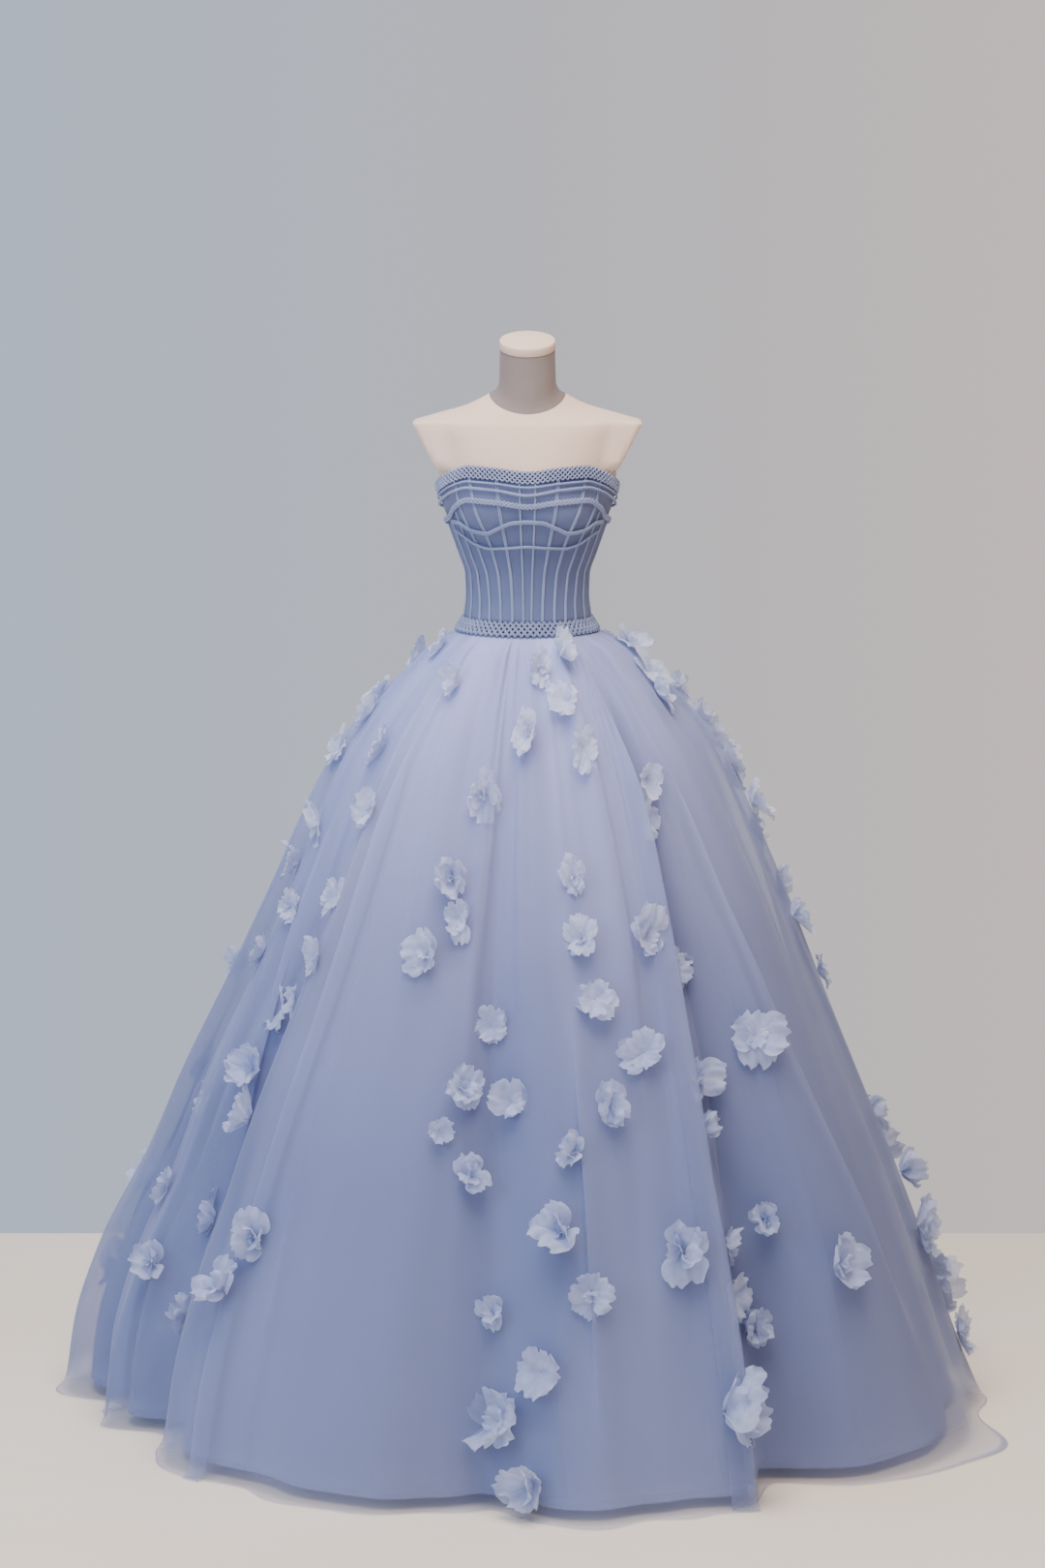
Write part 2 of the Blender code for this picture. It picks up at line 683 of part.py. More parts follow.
def build_bodice_trims(band_material, cord_material):
    halves = [COLUMN_STEP * i / 2 for i in range(2 * TORSO_COLUMNS)]
    plain = halves[::2]
    fine = [a for i, a in enumerate(halves) if i % 2 == 0 or fold_angle(a) < FINE_FRONT]
    bands = [
        ("neckline_braid", lambda a: bodice_line(a, 1) - NECKLINE_BAND_WIDTH / 2, NECKLINE_BAND_WIDTH,
         BONE_INNER, NECKLINE_BAND_DEPTH, plain, band_material),
        ("cord_smooth", lambda a: bodice_line(a, 2), SMOOTH_CORD, CORD_INNER, SMOOTH_CORD, plain,
         cord_material),
        ("cord_twisted", lambda a: bodice_line(a, 3), TWISTED_CORD, CORD_INNER, TWISTED_CORD, plain,
         cord_material),
        ("bust_braid", lambda a: bodice_line(a, 4), BUST_BRAID_WIDTH, CORD_INNER, BRAID_DEPTH, fine,
         band_material),
    ]
    for name, line, width, inner, depth, angles, material in bands:
        sections = band_sections(line, width, inner, depth, angles)
        strip_from_sections(name, sections, material, closed=True)
    belt = band_sections(lambda a: BELT_FOOT + BELT_HEIGHT / 2, BELT_HEIGHT, BONE_INNER, BELT_DEPTH, plain,
                         crown=0.0)
    strip_from_sections("waist_braid", belt, band_material, closed=True)
    short_bands = [
        ("underbust_braid", 1, UNDERBUST_BRAID_WIDTH, BRAID_DEPTH, UNDERBUST_BRAID_END, band_material),
        ("underbust_cord", 2, TWISTED_CORD, TWISTED_CORD, UNDERBUST_CORD_END, cord_material),
    ]
    reach = TORSO_COLUMNS // 2
    front_halves = [COLUMN_STEP * i / 2 for i in range(-reach, reach + 1)]
    for name, column, width, depth, end, material in short_bands:
        angles = [-end] + [a for a in front_halves if abs(a) < end - 1] + [end]
        sections = band_sections(lambda a: underbust_line(a, column), width, CORD_INNER, depth, angles)
        strip_from_sections(name, sections, material, closed=False)


# Skirt


def skirt_radius(angle, height):
    """The skirt's outside radius with no folds in it."""
    sine, cosine = math.sin(math.radians(angle)), math.cos(math.radians(angle))
    side = interpolate(SKIRT_LEVELS, height, 1 if sine < 0 else 2)
    facing = interpolate(SKIRT_LEVELS, height, 3 if cosine > 0 else 4)
    return side * sine ** 2 + facing * cosine ** 2


def fold_row(index):
    """A fold line's waist angle, hem angle and hem radius, with the table running on past 180."""
    turns, place = divmod(index, len(FOLD_LINES))
    waist, hem, radius = FOLD_LINES[place]
    return waist + 360 * turns, hem + 360 * turns, radius


def between_folds(position, column):
    """Smooth curve through a column of the fold table at a position between its rows."""
    index = math.floor(position)
    t = position - index
    a, b, c, d = (fold_row(index + k)[column] for k in (-1, 0, 1, 2))
    return 0.5 * (2 * b + (c - a) * t + (2 * a - 5 * b + 4 * c - d) * t ** 2
                  + (3 * b - a - 3 * c + d) * t ** 3)


def skirt_point(position, height):
    """A point on the skirt's outside at a place along the fold table and a height."""
    top = SKIRT_LEVELS[0][0]
    fallen = (top - height) / top
    growth = fallen ** FOLD_GROWTH
    waist, hem = between_folds(position, 0), between_folds(position, 1)
    angle = waist + (hem - waist) * min(1.0, fallen / FOLD_TURN_END)
    fold = between_folds(position, 2) - skirt_radius(hem, 0.0)
    radius = skirt_radius(angle, height) + fold * growth
    turn = math.radians(angle)
    return Vector((radius * math.sin(turn), -radius * math.cos(turn), height))


def inward(point, left, right, above, below, thickness):
    """The point moved in level, so that the wall is as thick as stated across its slope."""
    normal = (right - left).cross(above - below)
    level = Vector((normal.x, normal.y, 0))
    lean = level.length / normal.length
    level.normalize()
    if level.dot(Vector((point.x, point.y, 0))) < 0:
        level = -level
    return point - level * (thickness / max(lean, LEAST_LEAN))


def build_gore(name, first, last, material, flowers):
    steps = (last - first) * FOLD_STEPS
    positions = [first + i / FOLD_STEPS for i in range(steps + 1)]
    outer, inner = [], []
    for height in SKIRT_ROWS:
        above, below = min(height + HEIGHT_PROBE, SKIRT_ROWS[0]), max(height - HEIGHT_PROBE, 0.0)
        rows = ([], [])
        for i, position in enumerate(positions):
            left = skirt_point(position - SIDE_PROBE, height)
            right = skirt_point(position + SIDE_PROBE, height)
            along = (right - left).normalized()
            shift = Vector((0, 0, 0))
            if i == 0:
                shift = along * SEAM_GAP / 2
            if i == steps:
                shift = along * -SEAM_GAP / 2
            point = skirt_point(position, height)
            drop = inward(point, left, right, skirt_point(position, above), skirt_point(position, below),
                          SKIRT_WALL)
            rows[0].append(point + shift)
            rows[1].append(drop + shift)
        outer.append(rows[0])
        inner.append(rows[1])
    points, faces = wall_from_grids(outer, inner)
    gore = new_object(name, mesh_from_faces(name, points, faces), material, smooth_angle=60)
    add_flowers(gore, outer, flowers)
    return gore


def surface_tree(grid):
    """A search tree over a grid's outside, for setting flowers on it."""
    columns = len(grid[0])
    points = [p for row in grid for p in row]
    triangles = []
    for r in range(len(grid) - 1):
        for c in range(columns - 1):
            a, b = r * columns + c, r * columns + c + 1
            d, e = (r + 1) * columns + c, (r + 1) * columns + c + 1
            triangles += [(a, b, e), (a, e, d)]
    return BVHTree.FromPolygons(points, triangles)


def on_wall(tree, angle, height):
    """The wall's outside at an angle and height, and its outward direction, or None."""
    turn = math.radians(angle)
    out = Vector((math.sin(turn), -math.cos(turn), 0))
    place, normal, _, _ = tree.ray_cast(out * OUTSIDE_RADIUS + Vector((0, 0, height)), -out)
    if place is None:
        return None
    return place, normal if normal.dot(out) > 0 else -normal


def flower_body(tree, angle, height, width, spin):
    """Points and faces of one five-petalled flower rooted in the wall, or None past its edge."""
    seat = on_wall(tree, angle, height)
    if seat is None:
        return None
    middle, out = seat
    side = Vector((0, 0, 1)).cross(out).normalized()
    up = out.cross(side)
    rim = []
    for k in range(2 * PETALS):
        turn = spin + math.pi * k / PETALS
        tip = k % 2 == 0
        reach = width / 2 * (1.0 if tip else PETAL_NOTCH)
        rise = width * FLOWER_RISE * (1.0 if tip else NOTCH_RISE)
        rim.append(middle + (side * math.cos(turn) + up * math.sin(turn)) * reach + out * rise)
    centre = middle + out * (width * FLOWER_RISE * CENTRE_RISE)
    root = middle - out * FLOWER_SINK
    points = rim + [centre, root]
    count = len(rim)
    faces = []
    for k in range(count):
        following = (k + 1) % count
        faces += [(k, following, count), (following, k, count + 1)]
    return points, faces


def add_flowers(gore, grid, flowers):
    """Fuse the gore's flowers onto its outside."""
    tree = surface_tree(grid)
    points, faces = [], []
    for angle, height, width, spin in flowers:
        body = flower_body(tree, angle, height, width, spin)
        if body is None:
            print("no seat for a flower at", round(angle), round(height, 3), "on", gore.name)
            continue
        shift = len(points)
        points += body[0]
        faces += [tuple(i + shift for i in face) for face in body[1]]
    mesh = mesh_from_faces(gore.name + "_flowers", points, faces)
    cutter = bpy.data.objects.new(gore.name + "_flowers", mesh)
    CUTTERS.objects.link(cutter)
    cutter.hide_render = True
    cutter.display_type = "WIRE"
    union = gore.modifiers.new("flowers", "BOOLEAN")
    union.operation = "UNION"
    union.solver = "EXACT"
    union.use_self = True
    union.object = cutter


def all_flowers():
    """Angle, height, width and spin of each flower, front trails first."""
    placed = []
    for trail in FLOWER_TRAILS.values():
        placed += [(angle, height / 1000, width / 1000) for angle, height, width in trail]
    for waist, hem, first, last, count in BACK_TRAILS:
        for k in range(count):
            part = k / (count - 1)
            sway = BACK_SWAY * math.sin(BACK_SWAY_STEP * k + waist)
            height = first + (last - first) * part
            width = BACK_FLOWER_SMALL + (BACK_FLOWER_LARGE - BACK_FLOWER_SMALL) * part
            placed.append((waist + (hem - waist) * part + sway, height / 1000, width / 1000))
    return [(*flower, FLOWER_TURN * k) for k, flower in enumerate(placed)]


def seam_angle(index, height):
    """The angle of a fold line, which a seam may follow, at a height."""
    waist, hem, _ = fold_row(index)
    fallen = (SKIRT_LEVELS[0][0] - height) / SKIRT_LEVELS[0][0]
    return waist + (hem - waist) * min(1.0, fallen / FOLD_TURN_END)


def build_skirt(material):
    flowers = all_flowers()
    for name, first, last in GORES:
        own = []
        for angle, height, width, spin in flowers:
            low, high = seam_angle(first, height), seam_angle(last, height)
            for turned in (angle, angle + 360, angle - 360):
                if low <= turned < high:
                    margin = math.degrees(width * SEAM_MARGIN / skirt_radius(turned, height))
                    kept = min(max(turned, low + margin), high - margin)
                    own.append((kept, height, width, spin))
        build_gore(name, first, last, material, own)


def build_underskirt(material):
    top = BODICE_FOOT - SEAM_GAP
    for name, first, last in UNDERSKIRT_PANELS:
        turns = [2 * math.pi * i / UNDERSKIRT_COLUMNS for i in range(first, last + 1)]
        outer = [[body_point(math.degrees(turn), top, PANEL_OUTER) for turn in turns]]
        inner = [[body_point(math.degrees(turn), top, PANEL_INNER) for turn in turns]]
        for height, side, front, back in UNDERSKIRT_LEVELS:
            rows = ([], [])
            for turn in turns:
                facing = front if math.cos(turn) > 0 else back
                radius = side * math.sin(turn) ** 2 + facing * math.cos(turn) ** 2
                out = Vector((math.sin(turn), -math.cos(turn), 0))
                rows[0].append(out * radius + Vector((0, 0, height)))
                rows[1].append(out * (radius - UNDERSKIRT_WALL) + Vector((0, 0, height)))
            outer.append(rows[0])
            inner.append(rows[1])
        for row in outer + inner:
            row[0] += (row[1] - row[0]).normalized() * SEAM_GAP / 2
            row[-1] += (row[-2] - row[-1]).normalized() * SEAM_GAP / 2
        points, faces = wall_from_grids(outer, inner)
        new_object(name, mesh_from_faces(name, points, faces), material)


clear_scene()
COLLECTION = bpy.data.collections.new("evening_dress_on_form")
CUTTERS = bpy.data.collections.new("cutters")
bpy.context.scene.collection.children.link(COLLECTION)
bpy.context.scene.collection.children.link(CUTTERS)

linen = make_material("linen", LINEN, 0.85)
linen_shade = make_material("linen shade", LINEN_SHADE, 0.85)
steel = make_material("steel", STEEL, 0.35, 0.9)
mesh_cloth = make_material("bodice mesh", MESH_PANEL, 0.7)
cord_yarn = make_material("cord", CORD, 0.7)
lining = make_material("satin lining", LINING, 0.5)
tulle = make_material("tulle", TULLE, 0.8)

build_torso(linen)
build_neck(linen_shade, linen)
build_stand(steel)
build_bodice_panels(mesh_cloth)
build_bones(cord_yarn)
build_bodice_trims(cord_yarn, cord_yarn)
build_underskirt(lining)
build_skirt(tulle)
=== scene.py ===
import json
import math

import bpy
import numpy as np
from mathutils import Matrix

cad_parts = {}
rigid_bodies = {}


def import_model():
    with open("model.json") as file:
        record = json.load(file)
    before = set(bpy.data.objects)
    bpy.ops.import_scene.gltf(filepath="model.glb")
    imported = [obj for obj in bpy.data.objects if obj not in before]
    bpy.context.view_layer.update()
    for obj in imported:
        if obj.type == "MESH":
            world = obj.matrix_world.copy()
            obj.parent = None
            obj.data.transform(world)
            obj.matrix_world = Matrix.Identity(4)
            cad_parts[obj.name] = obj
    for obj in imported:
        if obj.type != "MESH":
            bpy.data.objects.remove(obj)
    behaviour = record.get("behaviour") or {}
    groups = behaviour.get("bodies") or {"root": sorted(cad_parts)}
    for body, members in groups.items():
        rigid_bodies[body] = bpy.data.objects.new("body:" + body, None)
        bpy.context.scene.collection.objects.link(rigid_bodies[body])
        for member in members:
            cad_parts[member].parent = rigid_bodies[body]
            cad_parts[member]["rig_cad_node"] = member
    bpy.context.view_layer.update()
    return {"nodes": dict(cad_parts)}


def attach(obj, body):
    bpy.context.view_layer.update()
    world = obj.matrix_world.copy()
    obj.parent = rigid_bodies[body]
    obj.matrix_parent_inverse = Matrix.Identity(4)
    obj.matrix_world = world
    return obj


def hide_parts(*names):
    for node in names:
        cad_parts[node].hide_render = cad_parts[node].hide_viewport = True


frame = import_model()

# %% [markdown]
# This lesson dresses the solid model of a strapless ball gown that stands on a limbless form. The
# solid parts are already built, so they are never moved: each piece of cloth is laid over the solid
# that it stands for. Lengths are in metres. Angles are in degrees round the body, from 0 at the
# front to 90 at the right of the picture.

nodes = frame["nodes"]

# %% [markdown]
# The camera stands 6.7 m in front of the dress, a little above the form's cap, and looks down 9
# degrees. It could be placed by eye, but it was fitted to the photo first, from the heights of the
# waist and the cap and the place of the floor.

# %% Camera
CAMERA_PLACE = (-0.0073, -6.695, 2.0085)
CAMERA_PITCH = 9.0909
LENS = 104.309
SENSOR = 36.0

camera = bpy.data.objects.new("camera", bpy.data.cameras.new("camera"))
camera.data.lens = LENS
camera.data.sensor_width = SENSOR
camera.location = CAMERA_PLACE
camera.rotation_euler = (math.radians(90 - CAMERA_PITCH), 0, 0)
bpy.context.scene.collection.objects.link(camera)
bpy.context.scene.camera = camera
print("camera at", CAMERA_PLACE)

# %% [markdown]
# All sizes of the cloth come from a few tables of levels. Straight lines between the rows would
# leave creases round the body, and a common spline would swing past them, so one curve is used that
# is smooth and never overshoots. The same tables shape the solid parts, so each piece of cloth lies
# where its solid is.

# %% Smooth curves through tables
def curve(keys, values):
    """A smooth cubic through the rows of a table that never overshoots them."""
    order = np.argsort(keys)
    keys, values = np.array(keys, float)[order], np.array(values, float)[order]
    gaps = np.diff(keys)
    rates = np.diff(values) / gaps
    slopes = np.concatenate([rates[:1], np.zeros(len(keys) - 2), rates[-1:]])
    product = rates[:-1] * rates[1:]
    total = np.where(product > 0, rates[:-1] + rates[1:], 1.0)
    slopes[1:-1] = np.where(product > 0, 2 * product / total, 0.0)

    def read(x):
        x = np.clip(x, keys[0], keys[-1])
        i = np.clip(np.searchsorted(keys, x, side="right") - 1, 0, len(keys) - 2)
        t = (x - keys[i]) / gaps[i]
        low = (2 * t ** 3 - 3 * t ** 2 + 1) * values[i] + (t ** 3 - 2 * t ** 2 + t) * gaps[i] * slopes[i]
        high = (3 * t ** 2 - 2 * t ** 3) * values[i + 1] + (t ** 3 - t ** 2) * gaps[i] * slopes[i + 1]
        return low + high

    return read


def smooth(x, low, high):
    """Eases from 0 at low to 1 at high."""
    t = np.clip((x - low) / (high - low), 0, 1)
    return t * t * (3 - 2 * t)


def cubic(a, b, c, d, t):
    """A smooth step from b to c, with a before them and d after."""
    return 0.5 * (2 * b + (c - a) * t + (2 * a - 5 * b + 4 * c - d) * t ** 2
                  + (3 * b - a - 3 * c + d) * t ** 3)

# %% [markdown]
# The torso under the bodice is a woman's form without arms: narrow at the waist, full at the bust,
# with flat plates at the armholes. It could be sculpted, but the bodice is stretched over it, so it
# is a function of angle and height instead: every point of the bodice is a point on the form moved
# out by the cloth's lift.

# %% The form's skin
# columns: height, half width, front depth, back depth
TORSO = [
    (0.985, 0.110, 0.094, 0.098), (1.080, 0.108, 0.094, 0.096), (1.140, 0.0990, 0.090, 0.084),
    (1.165, 0.0955, 0.088, 0.078), (1.192, 0.0915, 0.083, 0.072), (1.225, 0.0880, 0.080, 0.067),
    (1.255, 0.0890, 0.082, 0.068), (1.285, 0.0985, 0.089, 0.074), (1.315, 0.1090, 0.097, 0.081),
    (1.342, 0.1180, 0.102, 0.086), (1.368, 0.1260, 0.104, 0.089), (1.390, 0.1300, 0.102, 0.091),
    (1.420, 0.1330, 0.097, 0.092), (1.450, 0.1400, 0.089, 0.090), (1.478, 0.1500, 0.077, 0.085),
    (1.492, 0.1420, 0.068, 0.074), (1.507, 0.0920, 0.061, 0.064),
]
SHOULDER_TIP = 1.478
ARMHOLE_FOOT, ARMHOLE_HALF_WIDTH, ARMHOLE_LEAN = 1.408, 0.1320, 0.53
SHOULDER_REACH, SHOULDER_RUN_IN = 0.045, 0.015
# sines of the angles between which the form's front or back turns to an armhole's plate
PLATE_SINES = (0.80, 0.95)
CUP_REACH, CUP_ANGLE, CUP_HALF_ANGLE, CUP_HEIGHT, CUP_HALF_HEIGHT = 0.010, 33.0, 22.0, 1.350, 0.033

torso_keys, torso_width, torso_front, torso_back = zip(*TORSO)
half_width_at = curve(torso_keys, torso_width)
front_at = curve(torso_keys, torso_front)
back_at = curve(torso_keys, torso_back)


def body(angle, height, lift=0.0):
    """Points over the form's skin: angle in degrees from the front, height, lift outward."""
    angle, height, lift = np.broadcast_arrays(np.asarray(angle, float), height, lift)
    sine, cosine = np.sin(np.radians(angle)), np.cos(np.radians(angle))
    wide = half_width_at(height)
    deep = np.where(cosine > 0, front_at(height), back_at(height))
    plate = (height > ARMHOLE_FOOT) & (height <= SHOULDER_TIP)
    side = smooth(np.abs(sine), *PLATE_SINES)
    rise = np.clip((height - ARMHOLE_FOOT) / SHOULDER_RUN_IN, 0, 1)
    wide = wide + np.where(plate, SHOULDER_REACH * side * rise, 0.0)
    around = (angle + 180) % 360 - 180
    cup = CUP_REACH * np.exp(-((np.abs(around) - CUP_ANGLE) / CUP_HALF_ANGLE) ** 2)
    cup = cup * np.exp(-((height - CUP_HEIGHT) / CUP_HALF_HEIGHT) ** 2)
    out = np.stack([sine / wide, -cosine / deep, np.zeros_like(sine)], -1)
    out /= np.linalg.norm(out, axis=-1, keepdims=True)
    point = np.stack([wide * sine, -deep * cosine, height], -1) + out * cup[..., None]
    cut = ARMHOLE_HALF_WIDTH + ARMHOLE_LEAN * (height - ARMHOLE_FOOT)
    clipped = np.clip(point[..., 0], -cut, cut)
    point[..., 0] = np.where(plate, clipped, point[..., 0])
    return point + out * lift[..., None]


WAIST, BUST = 1.225, 1.368
print("waist", 2 * half_width_at(WAIST), "m wide, bust", 2 * half_width_at(BUST), "m wide")

# %% [markdown]
# The bodice's top edge and trims follow lines round the body, higher over the cups and lower at the
# back. They could be drawn as curves, but heights at a few angles are easier to read off the photo.
# The left and the right are the same, so only one side is written.

# %% The bodice's lines
# columns: angle, top edge, smooth cord, twisted cord, bust braid
BODICE_LINES = [
    (0, 1.4140, 1.3905, 1.3790, 1.3625), (20, 1.4190, 1.3955, 1.3860, 1.3685),
    (39, 1.4210, 1.3975, 1.3885, 1.3705), (54, 1.4130, 1.3895, 1.3805, 1.3570),
    (66, 1.4040, 1.3805, 1.3710, 1.3420), (90, 1.3890, 1.3655, 1.3560, 1.3320),
    (135, 1.3770, 1.3535, 1.3440, 1.3230), (180, 1.3730, 1.3495, 1.3400, 1.3200),
]
# columns: angle, underbust braid, underbust cord
UNDERBUST_LINES = [
    (0, 1.3400, 1.3030), (10, 1.3385, 1.3015), (20, 1.3300, 1.3000), (30, 1.3220, 1.2990),
    (42, 1.3250, 1.3040), (54, 1.3350, 1.3160), (66, 1.3346, 1.3240),
]
BODICE_FOOT = 1.1690
PANEL_TOP_DROP = 0.001


def line(table, column):
    """A line round the body as a function of the angle, level where it crosses the middle."""
    mirrored = [(-table[1][0], *table[1][1:])] + table
    read = curve([row[0] for row in mirrored], [row[column] for row in mirrored])
    return lambda angle: read(np.abs((np.asarray(angle, float) + 180) % 360 - 180))


top_edge, smooth_cord_line = line(BODICE_LINES, 1), line(BODICE_LINES, 2)
twisted_cord_line, bust_braid_line = line(BODICE_LINES, 3), line(BODICE_LINES, 4)
underbust_braid_line, underbust_cord_line = line(UNDERBUST_LINES, 1), line(UNDERBUST_LINES, 2)
print("neckline at the front", float(top_edge(0)), "and at the back", float(top_edge(180)))

# %% [markdown]
# A sheet of cloth is a grid of points joined by faces. A cord is a round section swept along a
# path, and one piece may hold several strands. Blender's curves could make the cords, but here both
# are meshes from the same function for faces, because then a strand's flatness and the way it faces
# are under control.

# %% Mesh makers
def mesh_object(name, points, faces, material):
    """A smooth piece in the scene that belongs to the body root."""
    mesh = bpy.data.meshes.new(name)
    mesh.from_pydata(np.asarray(points).reshape(-1, 3).tolist(), [], faces)
    mesh.shade_smooth()
    mesh.materials.append(material)
    piece = bpy.data.objects.new(name, mesh)
    bpy.context.scene.collection.objects.link(piece)
    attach(piece, "root")
    return piece


def grid_faces(rows, columns, start=0, closed=False, looped=False):
    """Faces of a grid; closed joins its last column to the first, and looped its last row to the first."""
    faces = []
    for r in range(rows if looped else rows - 1):
        near, far = start + r * columns, start + (r + 1) % rows * columns
        for c in range(columns if closed else columns - 1):
            n = (c + 1) % columns
            faces.append((near + c, near + n, far + n, far + c))
    return faces


def cord_object(name, strands, wide, high, material, closed=True, sides=6):
    """Tubes along strands; each strand is a row of points and the outward direction at each."""
    points, faces = [], []
    turns = 2 * np.pi * np.arange(sides) / sides
    for path, out in strands:
        if closed:
            along = np.roll(path, -1, 0) - np.roll(path, 1, 0)
        else:
            along = np.gradient(path, axis=0)
        along /= np.linalg.norm(along, axis=1, keepdims=True)
        across = np.cross(along, out)
        across /= np.linalg.norm(across, axis=1, keepdims=True)
        outward = np.cross(across, along)
        ring = (path[:, None] + across[:, None] * (wide / 2 * np.cos(turns))[None, :, None]
                + outward[:, None] * (high / 2 * np.sin(turns))[None, :, None])
        start = sum(len(p) for p in points)
        points.append(ring.reshape(-1, 3))
        faces += grid_faces(len(path), sides, start, closed=True, looped=closed)
        if not closed:
            last = start + (len(path) - 1) * sides
            faces.append(list(range(start, start + sides))[::-1])
            faces.append(list(range(last, last + sides)))
    return mesh_object(name, np.concatenate(points), faces, material)

# %% [markdown]
# Colours are written as hex values, as in a paint program, and turned to the linear values that
# Blender works in. A node is added with its settings and links by one small function, so each
# material below reads as a list of steps. Patterns are given by their real size in millimetres, and
# two functions turn it to a texture's scale.

# %% Material helpers
CLOTH_SPECULAR = 0.25
THREAD_WOBBLE = 0.6


def noise_scale(size):
    """The scale of a noise texture whose patches are about this many mm wide."""
    return 1000 / size


def wave_scale(spacing):
    """The scale of a wave texture whose bands are this many mm apart."""
    return 2 * math.pi / 20 * 1000 / spacing


def rgb(code):
    """Linear colour of a hex code such as 8890ac."""
    parts = [int(code[i:i + 2], 16) / 255 for i in (0, 2, 4)]
    return (*[c / 12.92 if c <= 0.04045 else ((c + 0.055) / 1.055) ** 2.4 for c in parts], 1.0)


def add(tree, kind, values=None, **settings):
    """A new node; values are numbers or links for its sockets, and settings are its own options."""
    node = tree.nodes.new(kind)
    for name, value in settings.items():
        setattr(node, name, value)
    for socket, value in (values or {}).items():
        if isinstance(value, bpy.types.NodeSocket):
            tree.links.new(value, node.inputs[socket])
        else:
            node.inputs[socket].default_value = value
    return node


def new_material(name, roughness, sheen=0.0):
    """A material, its nodes, its shader and the place on the object that its patterns are laid out by."""
    material = bpy.data.materials.new(name)
    material.use_nodes = True
    tree = material.node_tree
    shader = tree.nodes["Principled BSDF"]
    shader.inputs["Roughness"].default_value = roughness
    shader.inputs["Sheen Weight"].default_value = sheen
    shader.inputs["Specular IOR Level"].default_value = CLOTH_SPECULAR
    place = add(tree, "ShaderNodeTexCoord").outputs["Object"]
    return material, tree, shader, place


def ramp(tree, factor, stops):
    """Colours along a value, each a hex code or its red, green and blue shares."""
    node = add(tree, "ShaderNodeValToRGB", {"Fac": factor})
    while len(node.color_ramp.elements) < len(stops):
        node.color_ramp.elements.new(0.5)
    for element, (position, colour) in zip(node.color_ramp.elements, stops):
        element.position = position
        element.color = rgb(colour) if isinstance(colour, str) else (*colour, 1.0)
    return node.outputs["Color"]


def woven_bump(tree, place, spacing, strength, distance, also=None):
    """Crossed waves at the cloth's thread spacing in mm, as a bump, laid over another if there is one."""
    waves = []
    for direction in ("X", "Z"):
        wave = add(tree, "ShaderNodeTexWave", {"Vector": place, "Scale": wave_scale(spacing),
                                               "Distortion": THREAD_WOBBLE, "Detail": 1.0},
                   bands_direction=direction)
        waves.append(wave.outputs["Fac"])
    both = add(tree, "ShaderNodeMath", {0: waves[0], 1: waves[1]}, operation="ADD").outputs[0]
    values = {"Height": both, "Strength": strength, "Distance": distance}
    if also is not None:
        values["Normal"] = also
    return add(tree, "ShaderNodeBump", values).outputs["Normal"]

# %% [markdown]
# The form is covered in fine cream linen jersey over a padded shell. The neck is the same cloth,
# its colours made darker and greyer as painted shade for the shadow that it stands in under the cap.
# Plain matt paint would look like plastic, so a soft mottling and a fine weave are added. Real
# threads lie 0.3 mm apart, which is too fine to show, so they are drawn at 0.48 mm.

# %% Linen
LINEN_MOTTLING, LINEN_THREADS = 111, 0.483


def linen(name, light, dark):
    material, tree, shader, place = new_material(name, 0.85, 0.15)
    cloud = add(tree, "ShaderNodeTexNoise", {"Vector": place, "Scale": noise_scale(LINEN_MOTTLING),
                                             "Detail": 4.0}).outputs["Fac"]
    tree.links.new(ramp(tree, cloud, [(0.35, dark), (0.7, light)]), shader.inputs["Base Color"])
    tree.links.new(woven_bump(tree, place, LINEN_THREADS, 0.25, 0.0003), shader.inputs["Normal"])
    return material


form_linen = linen("cream linen jersey", "f8dcc6", "efd2bc")
# the neck's copy of the linen is darker and greyer: painted shade for the shadow under the cap
neck_linen_in_painted_shade = linen("neck linen jersey in painted shade", "988a84", "8a7e78")
print("linen for the form and its neck")

# %% [markdown]
# The torso, neck and cap show above the bodice, so they get a fine skin of rings, because the solid
# parts show their facets. The chest runs up to the neck in one hollow curve, lower at the front,
# and the neck ends in a tilted round cap with a seam under it.

# %% The form above the bodice
FORM_COLUMNS, NECK_ROWS, SLOPE_STEPS = 144, 24, 5
form_turns = np.linspace(0, 360, FORM_COLUMNS, endpoint=False)
front_share = np.maximum(0, np.cos(np.radians(form_turns))) ** 1.2
# columns: height at the back, how much lower at the front, and at the sides, where the shoulders are hollow
SLOPE_RINGS = [(1.464, 0.0, 0.0), (1.478, 0.0, 0.0), (1.492, 0.011, 0.004), (1.507, 0.020, 0.005)]
NECK_BASE_HEIGHT, NECK_DROOP, NECK_BASE_RADIUS = 1.520, 0.027, 0.056
# the chest's last ring lies inside the neck: radius, height, how much lower at the front
UNDER_NECK = (0.050, 1.528, 0.030)
NECK_RADIUS, NECK_TOP_HEIGHT, NECK_LEAN, CAP_TILT = 0.0405, 1.586, -0.012, 16.0
NECK_GAP, NECK_INSET = 0.0003, 0.0006
# sines of the angles between which the chest's soft bend turns to a sharp shoulder tip
TIP_SINES = (0.86, 0.97)
# columns: share of the neck's height, share of the way in from its foot
NECK_FLARE = [(0, 0), (0.08, 0.55), (0.25, 0.90), (1, 1)]
# columns: radius, rise over the neck's top
CAP_RINGS = [(0.0404, 0.0006), (0.0411, 0.0012), (0.0411, 0.0118), (0.0406, 0.0131), (0.0392, 0.0139),
             (0.0200, 0.0141), (0.0001, 0.0141)]


def round_ring(radius, height, droop=0.0):
    turn = np.radians(form_turns)
    return np.stack([radius * np.sin(turn), -radius * np.cos(turn), height - droop * front_share], -1)


